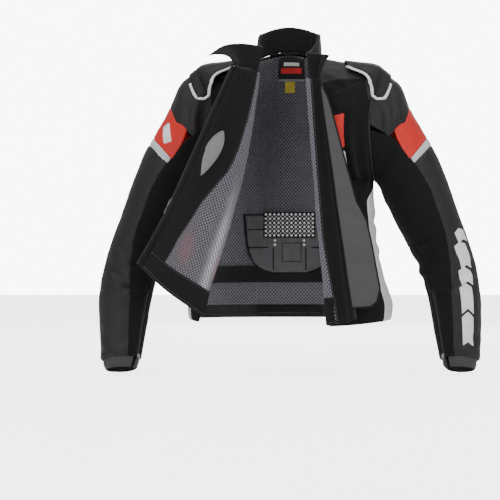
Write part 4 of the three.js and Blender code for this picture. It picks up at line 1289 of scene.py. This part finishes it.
for side in (-1, 1):
    name = SIDE_NAME[side]
    arm = sleeve(side)
    shoulder_ends = shoulder_ends_of(side)
    elbow = np.array([side * 0.35824, 0.002, -0.48675])
    bend = 0.04 * np.array([side * 0.2406, -0.1014, -0.965])
    elbow_ends = (elbow - bend, elbow + bend)
    upper, lower = f"{name}_upper_arm", f"{name}_forearm"

    upper_folds = creases(arm, ((40, 0.2), (110, 1.2), 0.010, 0.004),
                          ((60, 0.9), (160, 1.5), 0.010, -0.004),
                          ((80, 2.9), (190, 3.3), 0.010, -0.003),
                          ((30, 3.6), (150, 4.2), 0.009, 0.003),
                          ((-70, 1.8), (-110, 3.2), 0.012, -0.003),
                          ((175, 0.8), (235, 1.4), 0.010, 0.004),
                          ((-60, 3.4), (10, 3.7), 0.012, -0.0025))
    upper_relief = worn_in(101 + side, upper_folds, 0.0014, 0.045)
    lower_folds = creases(arm, ((20, 5.15), (130, 6.0), 0.009, -0.005),
                          ((45, 4.95), (150, 5.6), 0.008, 0.004),
                          ((80, 6.1), (150, 5.7), 0.008, 0.004),
                          ((70, 4.4), (200, 4.9), 0.010, -0.004),
                          ((100, 5.3), (215, 5.1), 0.009, 0.004),
                          ((-90, 4.6), (-20, 4.3), 0.012, -0.003),
                          ((-100, 5.4), (-40, 5.8), 0.012, 0.003),
                          ((10, 6.6), (90, 6.9), 0.010, -0.002),
                          ((60, 7.2), (120, 7.0), 0.008, 0.002))
    lower_relief = worn_in(111 + side, lower_folds, 0.0014, 0.045)
    if side > 0:
        left_relief, left_elbow = lower_relief, elbow_ends
    else:
        right_relief = upper_relief

    def cut_arm(part, across, down, material, slot, nodes, at_elbow, stitched=(), lift=0.0,
                thickness=0.003, surface=None, cell=0.004):
        cut = Cloth(surface or arm, across, down, side, cell=cell, depth=-lift,
                    relief=lower_relief if at_elbow else upper_relief)
        cut.stitch(stitched, 0.004)
        piece = cut.finish(f"{name}_{part}", material, thickness)
        pair, ends = ((upper, lower), elbow_ends) if at_elbow else (("torso", upper), shoulder_ends)
        bends(piece, pair, ends, slot, nodes, cut)
        return cut

    cut_arm("shoulder_leather", (OUTER_SEAM, 97), (0, 1), charcoal_leather, "charcoal_leather",
            [f"{name}_sleeve_outer"], False, "tb",
            surface=skewed(arm, 0.02, lambda turn: band_top(turn) - 0.01))
    cut_arm("band_red", (OUTER_SEAM, 84), (0, 1), red_leather, "red_leather", [f"{name}_arm_band"],
            False, "tb", surface=skewed(arm, band_top, BAND_FOOT), cell=0.0034)
    cut_arm("band_silver", (OUTER_SEAM, 79), (2.595, 2.725), silver_stripe, "red_leather", [], False)
    cut_arm("upper_stretch", lambda t: (leather_edge(t) + 0.4, INNER_SEAM), (0.02, 4.25), black_stretch,
            "black_stretch", [f"{name}_sleeve_stretch"], False)
    cut_arm("lower_leather", lambda t: (OUTER_SEAM, leather_edge(t)), (2.735, 8), charcoal_leather,
            "charcoal_leather", [f"{name}_sleeve_middle", f"{name}_forearm_outer"], True, "lrb")
    cut_arm("inner_forearm_stretch", lambda t: (leather_edge(t) + 0.4, CUFF_SLOT - slot_half(t)),
            (ELBOW_SEAM, 8), black_stretch, "black_stretch", [], True, "b")
    cut_arm("lower_stretch", lambda t: (CUFF_SLOT + slot_half(t), INNER_SEAM), (ELBOW_SEAM, 8),
            black_stretch, "black_stretch", [f"{name}_forearm_stretch"], True, "b")

    around = np.linspace(0, 360, 140)
    line = arm(around, 0.012 + 0 * around)
    welt = cord_piece(f"{name}_armhole_welt", line, 0.0030, charcoal_leather,
                      unit(line - line.mean(0)))
    rides(welt, "torso", "charcoal_leather")

    cut = Cloth(arm, (154, 498), (7.5, 9), side, cell=0.0035, depth=0.0045,
                relief=worn_in(121 + side, (), 0.0022, 0.016))
    rides(cut.finish(f"{name}_cuff_knit", cuff_knit, 0.003), lower, "grey_neoprene",
          [f"{name}_cuff_band"], cut)

    cut = Cloth(arm, (CUFF_SLOT - 6.6, CUFF_SLOT + 6.6), (5.76, 7.95), side, cell=0.003,
                depth=0.0004, seams="")
    rides(cut.finish(f"{name}_cuff_tape", zip_tape, 0.002), lower, "zip_tape",
          [f"{name}_cuff_zip_tape"], cut)
    line = arm(np.full(60, CUFF_SLOT), np.linspace(5.85, 7.93, 60))
    teeth_normals = unit(line - arm(np.full(60, CUFF_SLOT + 180), np.linspace(5.85, 7.93, 60)))
    across = unit(arm(CUFF_SLOT + 5, 7) - arm(CUFF_SLOT - 5, 7))
    zip_teeth(f"{name}_cuff_teeth", line - across * 0.001, teeth_normals, across, lower)

    for part, turns, rings, body_of_part in (("shoulder", (-55, 55), (0.2, 1.5), upper),
                                             ("elbow", (-95, 35), (5.15, 6.5), lower)):
        cut = Cloth(arm, turns, rings, side, cell=0.006, depth=0.0055, dip=0.003)
        piece = cut.finish(f"{name}_{part}_armour", protector_foam, 0.008)
        rides(piece, body_of_part, "protector", [f"{name}_{part}_protector"])

    # The rubber cup over the shoulder: a shield with a point at the front, edged in white.
    shield = over_shoulder(side)

    def cup_reach(t):
        edge = np.interp(t, CUP_T, CUP_TURN)
        return -edge - 4, edge

    def domed(turn, t):
        low, high = cup_reach(t)
        x = np.clip((turn - low) / (high - low), 0, 1)
        h = np.clip((t - CUP_T[0]) / (CUP_T[-1] - CUP_T[0]), 0, 1)
        rise = 0.0018 + 0.0055 * (np.sin(np.pi * x) * np.sin(np.pi * h)) ** 0.35
        across_cup = shield(turn + 2, t) - shield(turn - 2, t)
        along_cup = shield(turn, t + 0.02) - shield(turn, t - 0.02)
        return shield(turn, t) + side * unit(np.cross(across_cup, along_cup)) * rise[..., None]
    ribs = [crease(shield, (turn, -0.7), (turn, 0.4), 0.0035, -0.0016) for turn in (-24, -8, 8, 24)]
    cut = Cloth(domed, cup_reach, (CUP_T[0], CUP_T[-1]), side, cell=0.003,
                relief=worn_in(131, ribs, 0.0004), dip=0.002)
    piece = cut.finish(f"{name}_cup_rubber", cup_rubber, 0.0035)
    bends(piece, ("torso", upper), shoulder_ends, "cup_plastic", [f"{name}_shoulder_cup"])
    ts = np.linspace(-1.2, 0.57, 46)
    for part, sign in (("front", 1), ("rear", -1)):
        edge = np.interp(ts, CUP_T, CUP_TURN) + 3.5
        line = shield(edge if sign > 0 else -edge - 4, ts)
        normals = unit(line - (ARMHOLE_CENTRE * [side, 1, 1] - [side * 0.03, 0, 0.05]))
        piece = cord_piece(f"{name}_cup_piping_{part}", line + normals * 0.0022, 0.0044,
                           white_piping, normals, flat=0.6)
        bends(piece, ("torso", upper), shoulder_ends, "cup_plastic")

# Printed white blocks down the left forearm, each cut to a chevron, and a lozenge on the right.
block_t = [4.18, 4.56, 5.28, 5.72, 6.28, 6.86]
for i, (start, end) in enumerate(zip(block_t[:-1], block_t[1:])):
    middle = float(np.interp((start + end) / 2, [4.2, 5, 6, 7], [38, 57, 69, 70]))
    point = lambda turn: 0.10 * np.abs(turn - middle) / 17
    block = skewed(sleeve(1), lambda turn: start + 0.05 + point(turn), lambda turn: end + point(turn))
    cut = Cloth(block, (middle - 15, middle + 15), (0, 1), 1, cell=0.004, depth=-0.0007,
                relief=left_relief, dip=0.0003)
    bends(cut.finish(f"forearm_block_{i + 1}", white_print, 0.0012),
          ("left_upper_arm", "left_forearm"), left_elbow, "white_leather", [], cut)

# A plain white lozenge on the right band.
def lozenge_reach(t):
    half = 17 * (1 - np.abs((t - 2.3) / 0.19)) + 1
    lean = 40 * (t - 2.3)
    return 48 + lean - half, 48 + lean + half


cut = Cloth(sleeve(-1), lozenge_reach, (2.12, 2.48), -1, cell=0.003, depth=-0.0007,
            relief=right_relief, dip=0.0003)
bends(cut.finish("right_band_lozenge", white_print, 0.0012), ("torso", "right_upper_arm"),
      shoulder_ends_of(-1), "white_leather", [], cut)

# A perforated patch above the left band.
patch = skewed(sleeve(1), lambda turn: 1.35 - 0.011 * (turn - 50), lambda turn: band_top(turn) - 0.05)
cut = Cloth(patch, (52, 90), (0, 1), 1, cell=0.004, depth=-0.0006, relief=upper_relief, dip=0.0004)
cut.stitch("lt", 0.002)
bends(cut.finish("perforated_patch", perforated_leather, 0.0012), ("torso", "left_upper_arm"),
      shoulder_ends_of(1), "charcoal_leather", [], cut)

# ---------------------------------------------------------------- inside the back

RING_TABLE = np.linspace(0, HEM, 600)
HEIGHT_TABLE = body(180, RING_TABLE)[:, 2]


def inside_back(x, z):
    """The body's back surface at a place across and up, both in metres."""
    x, z = paired(x, z)
    ring = np.interp(-z, -HEIGHT_TABLE, RING_TABLE)
    half, square = spline(BODY_RINGS, ring)[..., 0], spline(BODY_RINGS, ring)[..., 6]
    sine = np.sign(x) * (np.abs(x) / half) ** (1 / square)
    return body(180 - np.degrees(np.arcsin(np.clip(sine, -1, 1))), ring)


def inner_strip(name, across, down, face, thickness, material, slot, nodes=(), stitched=(),
                seams="lrtb", relief=None):
    """A flat part on the inside of the back, its face so far in from the outer leather."""
    cut = Cloth(inside_back, across, down, 1, depth=-face, seams=seams, dip=0.0006, relief=relief)
    cut.stitch(stitched, 0.003, pitch=0.0034, length=0.0024, radius=0.0003)
    piece = cut.finish(name, material, thickness)
    rides(piece, "torso", slot, nodes, None if slot == "protector" else cut)
    return piece


# The lumbar pad: straight along its top, rounded below, with a raised block of dots. Its grooves are dark
# strips of painted shade, and its dots are white as painted light through its perforations.
PAD_LEFT, PAD_RIGHT, PAD_TOP, PAD_FOOT = -0.106, 0.107, -0.384, -0.511


def pad_reach(z, grow=0.0):
    """The pad's left and right edges at a height."""
    h = np.clip((PAD_TOP - z) / (PAD_TOP - PAD_FOOT), 0, 0.995)
    inset = 0.012 * h + 0.062 * (1 - np.sqrt(1 - h ** 5)) - grow
    return PAD_LEFT + inset, PAD_RIGHT - inset


rim = inner_strip("lumbar_pad_rim", lambda z: pad_reach(np.maximum(z, PAD_FOOT), 0.004),
                  (PAD_TOP + 0.004, PAD_FOOT - 0.003), 0.0165, 0.004, dark_pad_strips_and_groove_shade, "protector")
pad = inner_strip("lumbar_pad_body", pad_reach, (PAD_TOP, PAD_FOOT), 0.0208, 0.0078, pad_foam,
                  "protector", ["lumbar_pad"], relief=worn_in(141, (), 0.0005, 0.03))
# The grooves are dark strips standing proud: painted shade in place of recesses
for i, (x0, x1, z0, z1) in enumerate((
        (-0.102, -0.061, -0.4157, -0.4183), (0.066, 0.103, -0.4157, -0.4183),
        (-0.100, -0.050, -0.4557, -0.4583), (0.054, 0.101, -0.4557, -0.4583),
        (-0.0393, -0.0367, -0.457, -0.507), (0.0387, 0.0413, -0.457, -0.507),
        (-0.017, 0.029, -0.447, -0.4482), (-0.017, 0.029, -0.4868, -0.488),
        (-0.017, -0.0158, -0.447, -0.488), (0.0278, 0.029, -0.447, -0.488))):
    groove = inner_strip(f"dark_pad_strips_and_groove_shade_{i + 1}", (x0, x1), (z0, z1), 0.0213, 0.002, dark_pad_strips_and_groove_shade,
                         "protector", seams="")

inner_strip("pad_dot_block", (-0.0625, 0.0635), (-0.3755, -0.4362), 0.0214, 0.002, dark_pad_strips_and_groove_shade,
            "protector", seams="")
# The pad's perforations as white domes: painted light through the holes
dot_rows = [(-0.0565 + 0.0104 * i, -0.3805 - 0.0101 * j, 0.0031) for j in range(6) for i in range(12)]
dot_rows += [(-0.0513 + 0.0104 * i, -0.3856 - 0.0101 * j, 0.0017) for j in range(5) for i in range(11)]
dot_rows += [(x, z, 0.0031) for x in (-0.034, 0.036) for z in (-0.4425, -0.4515)]
dome = np.array([(r * math.cos(k * math.pi / 5), r * math.sin(k * math.pi / 5), z)
                 for r, z in ((1.0, -0.4), (0.96, 0.25), (0.62, 0.5)) for k in range(10)] + [(0, 0, 0.58)])
dome_faces = [[10 * j + k, 10 * j + (k + 1) % 10, 10 * j + 10 + (k + 1) % 10, 10 * j + 10 + k]
              for j in range(2) for k in range(10)]
points, faces = [], []
for x, z, radius in dot_rows:
    centre = inside_back(x, z)
    right = unit(inside_back(x + 0.002, z) - centre)
    up = unit(inside_back(x, z + 0.002) - centre)
    normal = np.cross(right, up)
    if normal[1] > 0:
        normal = -normal
    base = centre + normal * 0.0215
    offset = len(points)
    points += list(base + radius * (dome[:, :1] * right + dome[:, 1:2] * up + dome[:, 2:] * normal))
    faces += [[offset + i for i in face] for face in dome_faces]
    faces += [[offset + 20 + k, offset + 20 + (k + 1) % 10, offset + 30] for k in range(10)]
    faces.append([offset + k for k in range(9, -1, -1)])
if volume_of(np.array(points[:31]), faces[:31]) < 0:
    faces = [face[::-1] for face in faces]
pad_painted_light_dots = build("lumbar_pad_painted_light_dots", np.array(points), faces, white_print)
rides(pad_painted_light_dots, "torso", "protector")

# The waistband inside the back, with two fine silver lines, and the zip to the trousers.
for name, angles, rings, face, thick, material, nodes in (
        ("waist_elastic_band", (102, 258), (8.64, 9.24), 0.0162, 0.003, black_elastic, ["waist_elastic"]),
        ("waist_line_upper", (102, 258), (8.83, 8.845), 0.0167, 0.0008, silver_stripe, []),
        ("waist_line_lower", (102, 258), (9.04, 9.055), 0.0167, 0.0008, silver_stripe, [])):
    cut = Cloth(body, angles, rings, 1, cell=0.004, depth=-face, dip=0.0003,
                relief=worn_in(151, (), 0.0008, 0.03))
    rides(cut.finish(name, material, thick), "torso", "black_stretch", nodes, cut)
low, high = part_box("connection_zip")
zip_height = (low[2] + high[2]) / 2
inner_strip("trouser_zip_tape", (low[0], high[0]), (zip_height + 0.007, zip_height - 0.007), 0.0165,
            0.0026, zip_tape, "zip_tape", ["connection_zip"], "t")
line = inside_back(np.linspace(low[0] + 0.002, high[0] - 0.002, 60), zip_height - 0.0068) - [0, 0.0152, 0]
zip_teeth("trouser_zip_teeth", line, np.broadcast_to([0.0, -1.0, 0.0], line.shape),
          np.array([0.0, 0.0, -1.0]), "torso")

# Neck label, hanging loop and the yellow tag below it.
inner_strip("neck_label", (-0.026, 0.037), (-0.004, -0.061), 0.0128, 0.0012, label_satin,
            "black_facing", (), "lrb")
for part, across, down, material, slot in (
        ("white_bar", (-0.014, 0.025), (-0.0145, -0.0225), white_print, "white_leather"),
        ("red_bar", (-0.020, 0.031), (-0.0275, -0.0415), red_print, "red_leather"),
        ("silver_strip", (-0.026, 0.037), (-0.0555, -0.061), pocket_cloth, "silver_cloth")):
    inner_strip(f"label_{part}", across, down, 0.0134, 0.0006, material, slot, seams="")
inner_strip("yellow_tag", (-0.009, 0.014), (-0.0615, -0.0885), 0.0128, 0.0009, yellow_cloth,
            "silver_cloth", relief=worn_in(161, (), 0.0008, 0.015))
share = np.linspace(0, 1, 24)
loop_line = inside_back(-0.045 + 0.081 * share, -0.002 - 0.004 * np.sin(np.pi * share))
loop_line = loop_line + np.stack([0 * share, -0.0125 - 0.007 * np.sin(np.pi * share), 0 * share], -1)
loop = cord_piece("hanging_loop", loop_line, 0.0022, black_facing)
rides(loop, "torso", "black_facing")

# ---------------------------------------------------------------- sliders and pullers


def by_hand(name, steps, material):
    """A part modelled from a block: each step works on the selected faces."""
    bpy.ops.object.select_all(action="DESELECT")
    bpy.ops.mesh.primitive_cube_add(size=1, location=(0, 0, 0))
    made = bpy.context.object
    made.name = made.data.name = name
    steps(made)
    bpy.ops.object.shade_smooth_by_angle(angle=math.radians(38))
    made.data.materials.append(material)
    return made


def pick_faces(made, wanted):
    bpy.ops.object.mode_set(mode="OBJECT")
    for face in made.data.polygons:
        face.select = bool(wanted(face.normal, face.center))
    bpy.ops.object.mode_set(mode="EDIT")


def sized(made, *size):
    """Scales the block and selects all of it in edit mode."""
    made.scale = size
    bpy.ops.object.transform_apply(location=False, rotation=False, scale=True)
    bpy.ops.object.mode_set(mode="EDIT")
    bpy.ops.mesh.select_mode(type="FACE")
    bpy.ops.mesh.select_all(action="SELECT")


def round_edges(made, width):
    bpy.ops.object.mode_set(mode="OBJECT")
    rounded = made.modifiers.new("rounded", "BEVEL")
    rounded.width = width
    rounded.segments = 3
    rounded.limit_method = "ANGLE"
    bpy.ops.object.modifier_apply(modifier="rounded")


def slider_steps(width, depth, length):
    def steps(made):
        sized(made, width, depth, length)
        bpy.ops.mesh.subdivide(number_cuts=3)
        pick_faces(made, lambda n, c: n.z > 0.9)
        bpy.ops.transform.resize(value=(0.72, 0.86, 1))
        pick_faces(made, lambda n, c: n.z < -0.9)
        bpy.ops.transform.resize(value=(0.82, 0.86, 1))
        pick_faces(made, lambda n, c: n.y < -0.9 and abs(c.z) < length * 0.4 and abs(c.x) < width * 0.2)
        bpy.ops.mesh.inset(thickness=width * 0.05)
        bpy.ops.mesh.extrude_region_move(TRANSFORM_OT_translate={"value": (0, -depth * 0.22, 0)})
        bpy.ops.transform.resize(value=(0.8, 1, 0.86))
        pick_faces(made, lambda n, c: abs(n.x) > 0.9 and abs(c.y) < depth * 0.2)
        bpy.ops.mesh.inset(thickness=depth * 0.06)
        bpy.ops.mesh.extrude_region_move(TRANSFORM_OT_translate={"value": (0, 0, 0)})
        bpy.ops.transform.resize(value=(0.9, 1, 1))
        round_edges(made, depth * 0.07)
    return steps


def puller_steps(width, thickness, length, head):
    def steps(made):
        sized(made, width, thickness, length)
        bpy.ops.transform.translate(value=(0, 0, head - length / 2))
        bpy.ops.mesh.subdivide(number_cuts=4)
        pick_faces(made, lambda n, c: c.z > -length * 0.18)
        bpy.ops.transform.resize(value=(0.62, 1, 1), center_override=(0, 0, 0))
        pick_faces(made, lambda n, c: abs(n.y) > 0.9 and -length * 0.75 < c.z < -length * 0.3
                   and abs(c.x) < width * 0.32)
        bpy.ops.mesh.inset(thickness=width * 0.06)
        bpy.ops.transform.resize(value=(1, 0.62, 1))
        round_edges(made, thickness * 0.28)
    return steps


def placed(made, origin, axes, body_name):
    """Turns a part's mesh to lie along axes, and puts it on its body, named as its node is."""
    points = np.zeros(len(made.data.vertices) * 3)
    made.data.vertices.foreach_get("co", points)
    moved = points.reshape(-1, 3) @ np.array(axes) + origin
    made.data.vertices.foreach_set("co", moved.ravel())
    made.data.update()
    rides(made, body_name, "zip_metal", [body_name])


def facing_out(out, up):
    """Axes of a zip part, whose front looks out of the cloth."""
    return [np.cross(-out, up), -out, up]


def turned_axes(axes, line, degrees):
    return [unit(turned((line[0] + a)[None], line, degrees)[0] - line[0]) for a in axes]


def middle_of(node):
    return np.mean(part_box(node), axis=0)


up, _, out = zip_axes(-1)
middle = middle_of("main_slider")
main_axes = turned_axes(facing_out(out, up), FOLD[-1], OPEN[-1])
slider = by_hand("zip_slider_main", slider_steps(0.0108, 0.0053, 0.0128), zip_metal)
placed(slider, middle, main_axes, "main_slider")
puller = by_hand("zip_puller_main", puller_steps(0.0068, 0.0017, 0.034, 0.0023), zip_metal)
placed(puller, middle - main_axes[1] * 0.00545, main_axes, "main_puller")
for side in (1, -1):
    name = SIDE_NAME[side]
    arm = sleeve(side)
    lower, upper = arm(CUFF_SLOT, 7.95), arm(CUFF_SLOT, 6.15)
    up = unit(upper - lower)
    axle = arm(CUFF_SLOT - 20, 7.2) - arm(CUFF_SLOT + 20, 7.2)
    axle = unit(axle - axle @ up * up)
    out = np.cross(axle, up)
    if out @ (arm(CUFF_SLOT, 7.2) - arm(CUFF_SLOT + 180, 7.2)) < 0:
        out = -out
    middle = middle_of(f"{name}_cuff_slider")
    axes = facing_out(out, up)
    slider = by_hand(f"zip_slider_{name}_cuff", slider_steps(0.0068, 0.0038, 0.0088), zip_metal)
    placed(slider, middle, axes, f"{name}_cuff_slider")
    puller = by_hand(f"zip_puller_{name}_cuff", puller_steps(0.0048, 0.0013, 0.022, 0.0017), zip_metal)
    placed(puller, middle + out * 0.0041, axes, f"{name}_cuff_puller")

# ---------------------------------------------------------------- floor, light and camera

floor_finish = Finish("pale floor", roughness=0.85, emission_strength=1.0)
to_camera = floor_finish.node("ShaderNodeLightPath", {}, {}, "Is Camera Ray")
floor_finish.set(emission_color=floor_finish.mix(to_camera, (0, 0, 0), (3.4, 3.4, 3.4)))
floor_finish.set(base_color=floor_finish.mix(
    floor_finish.noise(floor_finish.place(), 3, 3), (0.93, 0.93, 0.93), (0.96, 0.96, 0.96)))
bpy.ops.object.select_all(action="DESELECT")
bpy.ops.mesh.primitive_plane_add(size=14, location=(0, 0, cad_low[2] - 0.004))
floor = bpy.context.object
floor.name = "floor"
floor.data.materials.append(floor_finish.material)

world = bpy.data.worlds.new("studio")
world.use_nodes = True
backdrop = world.node_tree.nodes["Background"]
backdrop.inputs["Color"].default_value = (1, 1, 1, 1)
brightness = world.node_tree.nodes.new("ShaderNodeMapRange")
brightness.inputs["To Min"].default_value = 0.55
brightness.inputs["To Max"].default_value = 9.0
seen = world.node_tree.nodes.new("ShaderNodeLightPath")
world.node_tree.links.new(seen.outputs["Is Camera Ray"], brightness.inputs["Value"])
world.node_tree.links.new(brightness.outputs["Result"], backdrop.inputs["Strength"])
bpy.context.scene.world = world


def soft_light(name, place, target, size, power):
    lamp = bpy.data.lights.new(name, "AREA")
    lamp.shape = "RECTANGLE"
    lamp.size, lamp.size_y = size
    lamp.energy = power
    holder = bpy.data.objects.new(name, lamp)
    bpy.context.scene.collection.objects.link(holder)
    holder.location = place
    holder.rotation_euler = (Vector(target) - Vector(place)).to_track_quat("-Z", "Y").to_euler()


soft_light("front left softbox", (-1.5, -2.6, 0.7), (0, 0, -0.35), (1.3, 1.8), 34)
soft_light("front right softbox", (1.8, -2.2, 0.9), (0, 0, -0.35), (1.1, 1.8), 30)
soft_light("top softbox", (0, -0.2, 1.9), (0, 0, -0.3), (1.8, 1.2), 26)
soft_light("rear softbox", (0.3, 2.4, 0.6), (0, 0, -0.35), (1.8, 1.4), 26)

camera = bpy.data.cameras.new("camera")
camera.lens = 125.2
camera.clip_end = 60
eye = bpy.data.objects.new("camera", camera)
bpy.context.scene.collection.objects.link(eye)
eye.location = (-0.092, -4.0, -0.462)
eye.rotation_euler = (math.radians(90), 0, 0)
bpy.context.scene.camera = eye

bpy.context.view_layer.update()
